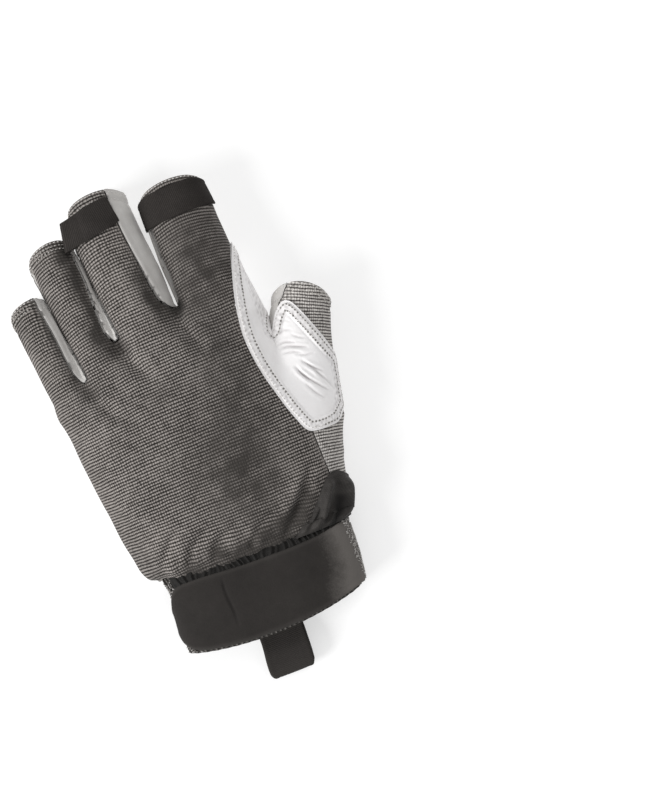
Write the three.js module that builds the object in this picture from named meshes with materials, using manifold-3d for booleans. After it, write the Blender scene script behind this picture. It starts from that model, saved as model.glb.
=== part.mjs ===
// Fingerless climbing glove of a left hand, lying palm down with its back up.
// +X points to the thumb's side, +Y to the finger ends and +Z away from the palm.
// The origin lies on the flattened palm leather, where the glove rests. Lengths are in millimetres.

import * as THREE from 'three';
import { mergeVertices } from 'three/addons/utils/BufferGeometryUtils.js';
import Module from 'manifold-3d';

// Sizes of the hand part
const palmWidth = 100;
const palmLength = 107;
const palmHeight = 34;
const wristAt = -51.5; // where the hand part ends and the cuff begins
const seamHeight = 12; // the height of the seam round the hand, between its back and its palm
const wall = 1.6; // thickness of the knit and of the palm leather
const seamGap = 0.3; // clearance between pieces that are sewn together
const sewnMargin = 3.6; // how far a piece reaches under the patch that is sewn over it
const gatherDepth = 0.7; // the knit is gathered where it meets the cuff
const gatherCount = 9;
const overrun = 6; // how far a hollow is cut past an open end

// Sizes of the fingers and of the thumb, each measured inside the palm from its root to its open end
const fingerWidth = 27;
const rootShare = 0.6; // a finger starts this much smaller, deep inside the palm
const fingerHeight = 20;
const rimCrown = 2.5; // the middle of an open end reaches this much further than its sides
const pinkyLength = 64;
const ringLength = 83;
const middleLength = 91.5;
const indexLength = 80.5;
const thumbLength = 70.2;
const thumbWidth = 28;
const thumbHeight = 23;

// Sizes of the leather patch, the pull tabs and the puckered fold
const patchThickness = 1.1;
const tabThickness = 1.1;
const tabWidth = 12.5;
const tabFromEnd = 8.6; // from the finger's open end to the middle of its tab
const tabTilt = 7; // the middle finger's tab lies across it at this angle, in degrees
const tabReach = 4.6; // how far the middle finger's tab stands out as a folded loop
const tabSlack = 0.8; // the space between the two layers of that loop
const tabLift = 3.5; // how far above the seam round that finger its tab ends
const tabDroop = 3; // how much that loop slopes down, in degrees
const loopStart = -0.5; // where it leaves the finger's back, as a share of half the finger's width
const foldThickness = 1.6;
const foldReach = 4; // how far below the seam round the hand the fold reaches

// Sizes of the cuff, the strap and the hang loop
const cuffLength = 33.5;
const cuffSag = 5; // how much longer the cuff is in its middle
const cuffHeight = 20;
const cuffWall = 2.2;
const cuffTuck = 3; // how far the cuff reaches into the hand part
const strapThickness = 1.5;
const strapDrop = 6; // the strap's upper edge lies this far below the hand part in the middle
const strapRise = 2.4; // and rises by this much towards both sides
const strapCorner = 7; // how large the round corner at its end is
const cuffShow = 0.8; // the cuff's edge shows by this much below the strap
const loopWidth = 19.6;
const loopThickness = 1.5;
const loopReach = 21; // how far the hang loop stands out below the cuff
const loopAt = 3.6; // the middle of the hang loop, across the cuff
const loopSlack = 5.6; // the clear height inside the loop
const loopLowest = 0.15;
const loopStraight = 6; // the straight run of its upper layer beside the turn
const loopTuck = 6; // how far its inner end reaches into the cuff

// How finely the pieces are meshed
const palmSteps = 13;
const palmSides = 36;
const fingerSteps = 5;
const fingerSides = 16;

// Sections of the hand part from the wrist to the knuckles. along is a share of palmLength, left and right
// are shares of palmWidth, up and down are shares of palmHeight and turn is in degrees.
const palmSections = [
  { along: 0.0, left: -0.372, right: 0.505, up: 0.3, down: 0.351, turn: 0 },
  { along: 0.05, left: -0.415, right: 0.53, up: 0.36, down: 0.37, turn: 0 },
  { along: 0.15, left: -0.443, right: 0.57, up: 0.44, down: 0.385, turn: 0 },
  { along: 0.3, left: -0.46, right: 0.6, up: 0.53, down: 0.39, turn: 0 },
  { along: 0.45, left: -0.478, right: 0.575, up: 0.59, down: 0.385, turn: 0 },
  { along: 0.6, left: -0.49, right: 0.515, up: 0.61, down: 0.352, turn: 1 },
  { along: 0.75, left: -0.5, right: 0.502, up: 0.56, down: 0.318, turn: 4 },
  { along: 0.84, left: -0.505, right: 0.49, up: 0.49, down: 0.3, turn: 8 },
  { along: 0.91, left: -0.49, right: 0.47, up: 0.38, down: 0.27, turn: 12 },
  { along: 0.95, left: -0.44, right: 0.44, up: 0.24, down: 0.19, turn: 14 },
];
const palmPower = 2.4; // how square the hand part's sections are: 2 is an ellipse

// The fingers. across and along place the root as shares of palmWidth and palmLength. lean is the way to the
// thumb's side in degrees, and bend adds to it from root to end. The widths are shares of the finger's
// full width, and up and down of its full height. knitLeft and knitRight are where the knit's edges run on
// its back, as shares of half its width: beyond 1 the knit wraps round that side.
const fingers = [
  {
    name: 'pinky', length: pinkyLength, width: fingerWidth, height: fingerHeight,
    across: -0.388, along: 0.644, lean: -6.6, bend: 0, rootWidth: 0.74, endWidth: 0.63,
    rootUp: 0.62, endUp: 0.44, rootDown: 0.5, endDown: 0.47, slant: 8, crown: 0.6, knitLeft: -1.5, knitRight: 0.62,
  },
  {
    name: 'ring', length: ringLength, width: fingerWidth, height: fingerHeight,
    across: -0.209, along: 0.644, lean: -5.1, bend: 0, rootWidth: 0.83, endWidth: 0.765,
    rootUp: 0.74, endUp: 0.45, rootDown: 0.5, endDown: 0.5, slant: 5, crown: 1, knitLeft: -0.9, knitRight: 0.86,
  },
  {
    name: 'middle', length: middleLength, width: fingerWidth, height: fingerHeight,
    across: 0.006, along: 0.682, lean: -1.7, bend: 0, rootWidth: 1.11, endWidth: 1.08,
    rootUp: 0.86, endUp: 0.56, rootDown: 0.5, endDown: 0.46, slant: 0, crown: 1, knitLeft: -0.93, knitRight: 0.52,
  },
  {
    name: 'index', length: indexLength, width: fingerWidth, height: fingerHeight,
    across: 0.328, along: 0.725, lean: -1.2, bend: 0, rootWidth: 1.2, endWidth: 1.09,
    rootUp: 0.8, endUp: 0.5, rootDown: 0.45, endDown: 0.43, slant: 0, crown: 1, knitLeft: -0.93, knitRight: 1.5,
  },
];
const thumb = {
  name: 'thumb', length: thumbLength, width: thumbWidth, height: thumbHeight,
  across: 0.468, along: 0.256, lean: 17.8, bend: 17, rootWidth: 1.22, endWidth: 0.91,
  rootUp: 0.56, endUp: 0.42, rootDown: 0.42, endDown: 0.42, slant: 0, crown: 2,
};

// Where the knit ends between two fingers, as shares of palmWidth and palmLength
const forks = [
  { across: -0.337, along: 0.853 },
  { across: -0.146, along: 0.963 },
  { across: 0.145, along: 1.003 },
];

// Outlines on the back, seen from above, and on the palm, as shares of palmWidth and palmLength.
// The patch's edge on the back runs from the index finger's side to its lowest corner.
const patchBackEdge = [
  { across: 0.49, along: 1.2 },
  { across: 0.437, along: 1.09 },
  { across: 0.409, along: 0.981 },
  { across: 0.376, along: 0.78 },
  { across: 0.38, along: 0.66 },
  { across: 0.413, along: 0.522 },
  { across: 0.452, along: 0.36 },
];
const patchLowEdge = [
  { across: 0.475, along: 0.335 },
  { across: 0.552, along: 0.328 },
  { across: 0.625, along: 0.338 },
];
// The patch's edge on the thumb runs from its lowest corner up the outer side, over the top and into the fork.
// side is a share of half the thumb's width and share is a share of its length.
const patchThumbEdge = [
  { side: 1.17, share: 0.3 },
  { side: 1.21, share: 0.47 },
  { side: 0.97, share: 0.66 },
  { side: 0.61, share: 0.79 },
  { side: 0.1, share: 0.9 },
  { side: -0.43, share: 0.95 },
  { side: -0.7, share: 0.92 },
  { side: -0.79, share: 0.8 },
];
const patchPalmEdge = [
  { across: 0.31, along: 1.148 },
  { across: 0.257, along: 1.01 },
  { across: 0.238, along: 0.85 },
  { across: 0.222, along: 0.705 },
  { across: 0.413, along: 0.612 },
  { across: 0.49, along: 0.69 },
];
const patchOuterSide = 0.517; // the patch's outlines close between the index finger and the thumb

// The seam between the palm leather and the thumb's knit, seen from below: first on the palm, from the wrist,
// and then on the thumb, as shares of half its width and of its length
const palmSeamStart = [
  { across: 0.252, along: -0.06 },
  { across: 0.345, along: 0.1 },
  { across: 0.47, along: 0.2 },
];
const palmSeamOnThumb = [
  { side: 0.64, share: 0.13 },
  { side: 0.84, share: 0.34 },
  { side: 0.85, share: 0.58 },
  { side: 0.74, share: 0.85 },
  { side: 0.63, share: 1.13 },
];
const thumbBackSeam = 0.5; // the seam between the back and the thumb's knit, as a share of palmWidth
const thumbEndSeam = { side: -0.88, share: 1.06 }; // where leather meets knit on the thumb's open end

// Sections of the cuff from the hand part down. along is a share of cuffLength, left and right are shares of
// palmWidth, and up and down of cuffHeight.
const cuffSections = [
  { along: 0.25, left: -0.345, right: 0.485, up: 0.46, down: 0.5 },
  { along: 0.6, left: -0.355, right: 0.475, up: 0.47, down: 0.5 },
  { along: 1.0, left: -0.362, right: 0.452, up: 0.45, down: 0.5 },
];
const cuffPower = 2.6;

// The puckered fold's outline, seen from above, as shares of palmWidth and palmLength
const foldOutline = [
  { across: 0.3, along: -0.004 },
  { across: 0.37, along: 0.05 },
  { across: 0.45, along: 0.115 },
  { across: 0.5, along: 0.155 },
  { across: 0.57, along: 0.14 },
  { across: 0.6, along: 0.08 },
  { across: 0.6, along: 0.004 },
  { across: 0.45, along: 0.004 },
];
// Its ridges run from the middle of the wrist up to the thumb's side.
const foldRidges = [
  { fromAcross: 0.34, fromAlong: 0.018, toAcross: 0.5, toAlong: 0.122, width: 0.026 },
  { fromAcross: 0.41, fromAlong: 0.024, toAcross: 0.535, toAlong: 0.095, width: 0.022 },
  { fromAcross: 0.48, fromAlong: 0.03, toAcross: 0.545, toAlong: 0.06, width: 0.018 },
];

const wasm = await Module();
wasm.setup();

const far = 400; // longer than the glove, for the solids that only cut

// Turning meshes into solids and back

function solidOf(geometry) {
  const plain = geometry.index ? geometry.toNonIndexed() : geometry.clone();
  plain.deleteAttribute('normal');
  plain.deleteAttribute('uv');
  const merged = mergeVertices(plain, 1e-5);
  return new wasm.Manifold(new wasm.Mesh({
    numProp: 3,
    vertProperties: new Float32Array(merged.attributes.position.array),
    triVerts: new Uint32Array(merged.index.array),
  }));
}

function geometryOf(solid) {
  const mesh = solid.getMesh();
  const geometry = new THREE.BufferGeometry();
  geometry.setAttribute('position', new THREE.BufferAttribute(new Float32Array(mesh.vertProperties), 3));
  geometry.setIndex(new THREE.BufferAttribute(new Uint32Array(mesh.triVerts), 1));
  geometry.computeVertexNormals();
  return geometry;
}

function joined(solids) {
  return solids.reduce((whole, solid) => whole.add(solid));
}

/** Everything below a height. */
function below(height) {
  const block = new THREE.BoxGeometry(2 * far, 2 * far, far);
  block.translate(0, 0, height - far / 2);
  return solidOf(block);
}

/** A block over an outline in plan, between two heights. */
function column(outline, low, high) {
  const shape = new THREE.Shape(outline.map((point) => new THREE.Vector2(point.x, point.y)));
  const geometry = new THREE.ExtrudeGeometry(shape, { depth: high - low, bevelEnabled: false });
  geometry.translate(0, 0, low);
  return solidOf(geometry);
}

/** An outline with every side moved outwards, or inwards for a distance below 0. */
function widened(outline, distance) {
  const count = outline.length;
  const clockwise = THREE.ShapeUtils.isClockWise(outline) ? -1 : 1;
  return outline.map((point, i) => {
    const before = outline[(i + count - 1) % count];
    const after = outline[(i + 1) % count];
    const first = new THREE.Vector2(point.y - before.y, before.x - point.x).normalize();
    const second = new THREE.Vector2(after.y - point.y, point.x - after.x).normalize();
    const middle = first.clone().add(second).normalize();
    const reach = clockwise * distance / Math.max(middle.dot(first), 0.5);
    return new THREE.Vector2(point.x + middle.x * reach, point.y + middle.y * reach);
  });
}

/** A point of the plan from shares of palmWidth and palmLength. */
function planPoint({ across, along }) {
  return new THREE.Vector2(across * palmWidth, wristAt + along * palmLength);
}

// Sections and the tubes through them

/** A value of a table's column at a share of the way, on a smooth curve through the rows. */
function blended(rows, key, column, share) {
  const last = rows.length - 1;
  let row = 0;
  while (row < last - 1 && share > rows[row + 1][key]) row += 1;
  const slope = (from, to) => (rows[to][column] - rows[from][column]) / (rows[to][key] - rows[from][key]);
  const span = rows[row + 1][key] - rows[row][key];
  const startSlope = slope(Math.max(row - 1, 0), row + 1);
  const endSlope = slope(row, Math.min(row + 2, last));
  const t = (share - rows[row][key]) / span;
  const value = (2 * t ** 3 - 3 * t ** 2 + 1) * rows[row][column]
    + (t ** 3 - 2 * t ** 2 + t) * span * startSlope;
  return value + (3 * t ** 2 - 2 * t ** 3) * rows[row + 1][column] + (t ** 3 - t ** 2) * span * endSlope;
}

/** The ring of points of one section. turn is the angle of its long side in plan, in radians. */
function ringOf(section, grow, sides) {
  return Array.from({ length: sides }, (_, i) => {
    const angle = (i / sides) * 2 * Math.PI;
    const cos = Math.cos(angle);
    const sin = Math.sin(angle);
    const power = 2 / section.power;
    const across = Math.sign(cos) * Math.abs(cos) ** power * (section.half + grow);
    const height = Math.sign(sin) * Math.abs(sin) ** power * ((sin > 0 ? section.up : section.down) + grow);
    const gather = (section.gather ?? 0) * Math.cos(gatherCount * Math.PI * cos) * Math.max(sin, 0);
    const crown = (section.crown ?? 0) * (1 - cos ** 2);
    return new THREE.Vector3(
      section.x + across * Math.cos(section.turn) - crown * Math.sin(section.turn),
      section.y + across * Math.sin(section.turn) + crown * Math.cos(section.turn),
      seamHeight + height + gather,
    );
  });
}

/** How high a section's back lies, at a share of its half width from its middle. */
function backHeight(section, side) {
  return seamHeight + section.up * (1 - Math.min(Math.abs(side), 1) ** section.power) ** (1 / section.power);
}

/** A closed tube through a list of rings, with flat ends. */
function tubeOf(rings) {
  const sides = rings[0].length;
  const positions = [];
  const place = (...points) => points.forEach((point) => positions.push(point.x, point.y, point.z));
  const centre = (ring) => ring.reduce((sum, point) => sum.add(point), new THREE.Vector3())
    .divideScalar(sides);
  const start = centre(rings[0]);
  const end = centre(rings[rings.length - 1]);
  for (let i = 0; i < sides; i += 1) {
    const next = (i + 1) % sides;
    for (let row = 0; row + 1 < rings.length; row += 1) {
      place(rings[row][i], rings[row + 1][next], rings[row][next]);
      place(rings[row][i], rings[row + 1][i], rings[row + 1][next]);
    }
    place(start, rings[0][i], rings[0][next]);
    place(end, rings[rings.length - 1][next], rings[rings.length - 1][i]);
  }
  const geometry = new THREE.BufferGeometry();
  geometry.setAttribute('position', new THREE.BufferAttribute(new Float32Array(positions), 3));
  return solidOf(geometry);
}

/** The section of the hand part at a share of its length. */
function palmSection(along) {
  const value = (column) => blended(palmSections, 'along', column, along);
  return {
    x: (value('left') + value('right')) / 2 * palmWidth,
    y: wristAt + along * palmLength,
    half: (value('right') - value('left')) / 2 * palmWidth,
    up: value('up') * palmHeight,
    down: value('down') * palmHeight,
    turn: THREE.MathUtils.degToRad(value('turn')),
    power: palmPower,
    gather: gatherDepth * Math.max(0, 1 - along / 0.12),
  };
}

/** The hand part without its fingers. Where open is more than 0 it runs that far past the wrist. */
function palmTube(grow, open) {
  const last = palmSections[palmSections.length - 1].along;
  const sections = Array.from({ length: palmSteps + 1 }, (_, i) => palmSection(last * (i / palmSteps) ** 1.2));
  if (open > 0) {
    sections.unshift({ ...sections[0], y: sections[0].y - open });
  }
  const end = sections[sections.length - 1];
  end.x -= grow * Math.sin(end.turn);
  end.y += grow * Math.cos(end.turn);
  return tubeOf(sections.map((section) => ringOf(section, grow, palmSides)));
}

/** The section of a finger at a share of its length, which may lie past its open end. */
function fingerSection(finger, share) {
  const lean = THREE.MathUtils.degToRad(finger.lean);
  const bend = THREE.MathUtils.degToRad(finger.bend);
  const steps = 12;
  const root = planPoint(finger);
  for (let i = 0; i < steps; i += 1) {
    const way = lean + bend * (share * (i + 0.5) / steps - 0.5);
    root.x += Math.sin(way) * finger.length * share / steps;
    root.y += Math.cos(way) * finger.length * share / steps;
  }
  const start = share === 0 ? rootShare : 1;
  const mix = (from, to) => start * (from + (to - from) * Math.min(share, 1));
  return {
    x: root.x,
    y: root.y,
    half: mix(finger.rootWidth, finger.endWidth) * finger.width / 2,
    up: mix(finger.rootUp, finger.endUp) * finger.height,
    down: mix(finger.rootDown, finger.endDown) * finger.height,
    turn: -lean - bend * (share - 0.5) + THREE.MathUtils.degToRad(finger.slant) * Math.min(share, 1) ** 4,
    power: 2.2,
    crown: rimCrown * finger.crown * Math.min(share, 1) ** 6,
  };
}

function fingerTube(finger, grow, open) {
  const shares = Array.from({ length: fingerSteps + 1 }, (_, i) => i / fingerSteps);
  if (open > 0) shares.push(1 + open / finger.length);
  return tubeOf(shares.map((share) => ringOf(fingerSection(finger, share), grow, fingerSides)));
}

/** The whole hand, grown outwards, standing on the floor. With open ends it runs past them. */
function hand(grow, open) {
  const parts = [palmTube(grow, open), ...[...fingers, thumb].map((finger) => fingerTube(finger, grow, open))];
  return joined(parts).subtract(below(Math.max(-grow, 0)));
}

// Outlines of the pieces in plan

/** A point on a finger's back, at a share of half its width and a share of its length. */
function onFinger(finger, side, share) {
  const section = fingerSection(finger, share);
  return new THREE.Vector2(
    section.x + side * section.half * Math.cos(section.turn),
    section.y + side * section.half * Math.sin(section.turn),
  );
}

/** A point on the thumb from its two shares. */
function onThumb({ side, share }) {
  return onFinger(thumb, side, share);
}

/** The patch's edge on the back, moved under the patch by the sewn margin. */
function underPatch(points) {
  return points.map((point) => planPoint(point).add(new THREE.Vector2(sewnMargin, 0)));
}

function backOutline() {
  const pinky = fingers[0];
  const outside = onFinger(pinky, pinky.knitLeft, 1);
  const points = [
    new THREE.Vector2(outside.x - palmWidth / 4, wristAt - palmLength / 4),
    new THREE.Vector2(outside.x - palmWidth / 4, outside.y),
  ];
  fingers.forEach((finger, i) => {
    if (i > 0) {
      points.push(planPoint(forks[i - 1]));
      points.push(onFinger(finger, finger.knitLeft, 0.6));
    }
    points.push(onFinger(finger, finger.knitLeft, 1.15));
    points.push(onFinger(finger, finger.knitRight, 1.15));
    if (i < forks.length) points.push(onFinger(finger, finger.knitRight, 0.6));
  });
  const topOfPatch = planPoint(patchBackEdge[0]);
  points.push(new THREE.Vector2(topOfPatch.x + 2 * sewnMargin, topOfPatch.y));
  points.push(...underPatch(patchBackEdge.slice(1)));
  points.push(new THREE.Vector2(thumbBackSeam * palmWidth, planPoint(patchLowEdge[0]).y));
  points.push(new THREE.Vector2(thumbBackSeam * palmWidth, wristAt - palmLength / 4));
  return points;
}

/** The thumb's knit, seen from above. */
function thumbBackOutline() {
  const seam = thumbBackSeam * palmWidth;
  const low = wristAt - palmLength / 4;
  const outer = patchThumbEdge.slice(0, 6).map((point) => {
    return onThumb(point).add(new THREE.Vector2(-sewnMargin, -sewnMargin / 3));
  });
  return [
    new THREE.Vector2(palmWidth, low),
    new THREE.Vector2(seam, low),
    new THREE.Vector2(seam, planPoint(patchLowEdge[0]).y + sewnMargin),
    ...outer,
    onThumb(thumbEndSeam),
    new THREE.Vector2(palmWidth, onThumb(thumbEndSeam).y),
  ];
}

/** The thumb's knit, seen from below. */
function thumbPalmOutline() {
  const points = [...palmSeamStart.map(planPoint), ...palmSeamOnThumb.map(onThumb)];
  const first = points[0];
  const last = points[points.length - 1];
  return [
    new THREE.Vector2(palmWidth, first.y - palmLength / 4),
    new THREE.Vector2(first.x, first.y - palmLength / 4),
    ...points,
    new THREE.Vector2(palmWidth, last.y),
  ];
}

function patchBackOutline() {
  const start = planPoint(patchBackEdge[0]);
  return [
    ...patchBackEdge.map(planPoint),
    ...patchLowEdge.map(planPoint),
    ...patchThumbEdge.map(onThumb),
    new THREE.Vector2(patchOuterSide * palmWidth, start.y),
  ];
}

function patchPalmOutline() {
  return [
    ...patchPalmEdge.map(planPoint),
    new THREE.Vector2(patchOuterSide * palmWidth, planPoint(patchPalmEdge[5]).y),
    new THREE.Vector2(patchOuterSide * palmWidth, planPoint(patchPalmEdge[0]).y),
  ];
}

// The pieces of the hand part

const handOuter = hand(0, 0);
const handInner = hand(-wall, overrun);
const shell = handOuter.subtract(handInner);

function backRegion(extra) {
  return column(widened(backOutline(), extra), seamHeight + seamGap / 2 - extra, far);
}

function thumbRegion(extra) {
  const upper = column(widened(thumbBackOutline(), extra), seamHeight - seamGap / 2, far);
  const lower = column(widened(thumbPalmOutline(), extra), -far, seamHeight + seamGap / 2);
  return upper.add(lower);
}

function makeBackPanel() {
  return shell.intersect(backRegion(0)).subtract(thumbRegion(seamGap));
}

function makeThumbSidePanel() {
  return shell.intersect(thumbRegion(0));
}

function makePalmPanel() {
  return shell.subtract(backRegion(seamGap)).subtract(thumbRegion(seamGap));
}

/** What covers the hand at a small clearance, with a thickness. */
function layerOver(thickness) {
  return hand(seamGap + thickness, 0).subtract(hand(seamGap, 0));
}

function makeThumbPatch() {
  const region = column(patchBackOutline(), seamHeight, far).add(column(patchPalmOutline(), 0, seamHeight));
  return layerOver(patchThickness).intersect(region);
}

/** The share of a finger's length at the middle of its tab. */
function tabShare(finger) {
  return 1 - tabFromEnd / finger.length;
}

/** A band across a finger's back, tilted in plan, from one side's widest point to the other's. */
function bandOver(finger, tilt) {
  const section = fingerSection(finger, tabShare(finger));
  const way = section.turn + THREE.MathUtils.degToRad(tilt);
  const along = new THREE.Vector2(-Math.sin(way), Math.cos(way));
  const side = new THREE.Vector2(Math.cos(way), Math.sin(way));
  const corner = (x, y) => new THREE.Vector2(section.x, section.y)
    .addScaledVector(side, x * (section.half + finger.width / 4))
    .addScaledVector(along, y * tabWidth / 2);
  const outline = [corner(-1, -1), corner(1, -1), corner(1, 1), corner(-1, 1)];
  const band = fingerTube(finger, seamGap + tabThickness, 0).subtract(fingerTube(finger, seamGap, overrun));
  return band.intersect(column(outline, seamHeight - tabThickness, far));
}

function makeIndexPullTab() {
  return bandOver(fingers[3], 0);
}

/** The middle finger's tab stands out beside it as a flat folded loop. */
function makeMiddlePullTab() {
  const finger = fingers[2];
  const middle = tabShare(finger);
  const section = fingerSection(finger, middle);
  const right = onFinger(finger, finger.knitRight, middle);
  const leatherSide = column([
    new THREE.Vector2(right.x, right.y - finger.width),
    new THREE.Vector2(right.x + finger.width, right.y - finger.width),
    new THREE.Vector2(right.x + finger.width, right.y + finger.width),
    new THREE.Vector2(right.x, right.y + finger.width),
  ], 0, far);
  const thickness = 2 * tabThickness + tabSlack;
  const length = tabReach + (1 + loopStart) * section.half;
  const bendAt = length - thickness / 2;
  const profile = new THREE.Shape();
  profile.moveTo(0, -thickness / 2);
  profile.lineTo(bendAt, -thickness / 2);
  profile.absarc(bendAt, 0, thickness / 2, -Math.PI / 2, Math.PI / 2, false);
  profile.lineTo(0, thickness / 2);
  const slot = new THREE.Path();
  slot.moveTo(length / 2, -tabSlack / 2);
  slot.lineTo(length / 2, tabSlack / 2);
  slot.lineTo(bendAt, tabSlack / 2);
  slot.absarc(bendAt, 0, tabSlack / 2, Math.PI / 2, -Math.PI / 2, true);
  profile.holes.push(slot);
  const geometry = new THREE.ExtrudeGeometry(profile, { depth: tabWidth, bevelEnabled: false, curveSegments: 5 });
  geometry.rotateX(Math.PI / 2);
  geometry.translate(0, tabWidth / 2, 0);
  geometry.rotateY(THREE.MathUtils.degToRad(tabDroop));
  geometry.rotateZ(Math.PI + section.turn + THREE.MathUtils.degToRad(tabTilt));
  const shoulder = onFinger(finger, loopStart, middle);
  geometry.translate(shoulder.x, shoulder.y, backHeight(section, loopStart) + seamGap + tabThickness / 2);
  const loop = solidOf(geometry).subtract(fingerTube(finger, seamGap, tabWidth));
  return bandOver(finger, tabTilt).subtract(leatherSide).subtract(below(seamHeight + tabLift)).add(loop);
}

/** The dark fold of stretch cloth at the thumb's side of the wrist: a layer with ridges on it. */
function makeWristFold() {
  const onBack = (across, along) => {
    const place = planPoint({ across, along });
    const section = palmSection(along);
    const height = backHeight(section, (place.x - section.x) / section.half);
    return new THREE.Vector3(place.x, place.y, height + foldThickness);
  };
  const ridges = foldRidges.map((ridge) => {
    const from = onBack(ridge.fromAcross, ridge.fromAlong);
    const to = onBack(ridge.toAcross, ridge.toAlong);
    const way = to.clone().sub(from);
    const bar = new THREE.CapsuleGeometry(ridge.width * palmWidth, way.length(), 4, 10);
    const upright = new THREE.Vector3(0, 1, 0);
    bar.applyQuaternion(new THREE.Quaternion().setFromUnitVectors(upright, way.clone().normalize()));
    bar.translate((from.x + to.x) / 2, (from.y + to.y) / 2, (from.z + to.z) / 2);
    return solidOf(bar);
  });
  const outline = column(foldOutline.map(planPoint), seamHeight - foldReach, far);
  const layer = hand(seamGap + foldThickness, 0).intersect(outline);
  return joined([layer, ...ridges]).subtract(hand(seamGap, palmLength / 4));
}

// The cuff and what is sewn on it

function cuffSection(along) {
  const value = (column) => blended(cuffSections, 'along', column, along);
  return {
    x: (value('left') + value('right')) / 2 * palmWidth,
    y: wristAt - along * cuffLength,
    half: (value('right') - value('left')) / 2 * palmWidth,
    up: value('up') * cuffHeight,
    down: value('down') * cuffHeight,
    turn: 0,
    power: cuffPower,
  };
}

/** The section of the cuff that is tucked into the hand part. */
function tuckedSection(y) {
  const mouth = palmSection(0);
  const inset = wall + seamGap;
  return {
    ...mouth, y, half: mouth.half - inset, up: mouth.up - inset - gatherDepth, down: mouth.down - inset,
    gather: 0,
  };
}

/** How far down the cuff's lower edge lies, at a place across it. */
function cuffEndAt(x) {
  const last = cuffSection(1);
  return last.y - cuffSag * Math.max(0, 1 - ((x - last.x) / last.half) ** 2);
}

/** The cuff as a tube, grown outwards. Its lower edge sags in the middle. */
function cuffTube(grow, open) {
  const rings = [wristAt + cuffTuck + (open > 0 ? open : 0), wristAt, wristAt - 1]
    .map((y) => ringOf(tuckedSection(y), grow, palmSides));
  [0.25, 0.5, 0.75].forEach((along) => rings.push(ringOf(cuffSection(along), grow, palmSides)));
  const lowest = ringOf(cuffSection(1), grow, palmSides);
  lowest.forEach((point) => {
    point.y = cuffEndAt(point.x);
  });
  rings.push(lowest);
  if (open > 0) rings.push(lowest.map((point) => new THREE.Vector3(point.x, point.y - open, point.z)));
  return tubeOf(rings.reverse());
}

function makeCuff() {
  return cuffTube(0, 0).subtract(cuffTube(-cuffWall, 5));
}

/** The strap crosses the back of the cuff, goes round the little finger's side and ends under the palm. */
function makeWristStrap() {
  const top = wristAt - strapDrop;
  const first = cuffSections[0];
  const last = cuffSections[cuffSections.length - 1];
  const left = Math.min(first.left, last.left) * palmWidth;
  const right = Math.max(first.right, last.right) * palmWidth;
  const outside = strapThickness + 2;
  const loopSide = loopAt - loopWidth / 2 - 1;
  const bottom = (x) => new THREE.Vector2(x, cuffEndAt(x) + cuffShow);
  const roundEnd = [
    new THREE.Vector2(left + 2 * outside, top + strapRise),
    new THREE.Vector2(left + outside / 2, top + strapRise - strapCorner / 3),
    new THREE.Vector2(left - outside, top + strapRise - strapCorner),
    bottom(left - outside),
  ];
  const upper = [
    ...roundEnd,
    ...[0.2, 0.4, 0.6, 0.8].map((share) => bottom(left + share * (right - left))),
    bottom(last.right * palmWidth - 1),
    new THREE.Vector2(right + outside, top + strapRise),
    new THREE.Vector2(right - outside, top + strapRise),
    new THREE.Vector2((left + right) / 2, top),
  ];
  const lower = [...roundEnd, bottom(left / 2), bottom(loopSide), new THREE.Vector2(loopSide, top + strapRise)];
  const layer = cuffTube(seamGap + strapThickness, cuffSag).subtract(cuffTube(seamGap, 2 * cuffSag));
  return layer.intersect(column(upper, seamHeight - 2, far).add(column(lower, 0, seamHeight)));
}

/** The hang loop is webbing sewn under the cuff, which runs out, turns and comes back into the cuff. */
function makeHangLoop() {
  const cuffEnd = cuffEndAt(loopAt);
  const inside = seamHeight - cuffSections[2].down * cuffHeight + cuffWall + seamGap;
  const turnRadius = loopSlack / 2;
  const low = loopLowest;
  const bottom = loopLowest + loopThickness;
  const turnAt = cuffEnd - loopReach + turnRadius + loopThickness;
  const crown = bottom + loopSlack;
  const tuck = cuffEnd + loopTuck;
  const profile = new THREE.Shape();
  profile.moveTo(wristAt - 1.5, low);
  profile.lineTo(wristAt - 1.5, bottom);
  profile.lineTo(turnAt, bottom);
  profile.absarc(turnAt, bottom + turnRadius, turnRadius, -Math.PI / 2, -3 * Math.PI / 2, true);
  profile.lineTo(turnAt + loopStraight, crown);
  profile.lineTo(cuffEnd - 2, inside);
  profile.lineTo(tuck, inside);
  profile.lineTo(tuck, inside + loopThickness);
  profile.lineTo(cuffEnd - 2, inside + loopThickness);
  profile.lineTo(turnAt + loopStraight, crown + loopThickness);
  profile.lineTo(turnAt, crown + loopThickness);
  profile.absarc(turnAt, bottom + turnRadius, turnRadius + loopThickness, Math.PI / 2, 3 * Math.PI / 2, false);
  const geometry = new THREE.ExtrudeGeometry(profile, { depth: loopWidth, bevelEnabled: false, curveSegments: 7 });
  geometry.rotateX(Math.PI / 2);
  geometry.rotateZ(Math.PI / 2);
  geometry.translate(loopAt - loopWidth / 2, 0, 0);
  return solidOf(geometry);
}

// Colours of the pieces

const knit = { color: 0x5a5652, roughness: 0.95 };
const leather = { color: 0xc8c5c1, roughness: 0.7 };
const paleLeather = { color: 0xe1dfde, roughness: 0.65 };
const webbing = { color: 0x34312f, roughness: 0.85 };
const stretchCloth = { color: 0x2c2b29, roughness: 0.8 };
const ribbing = { color: 0x3c3936, roughness: 0.9 };

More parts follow.
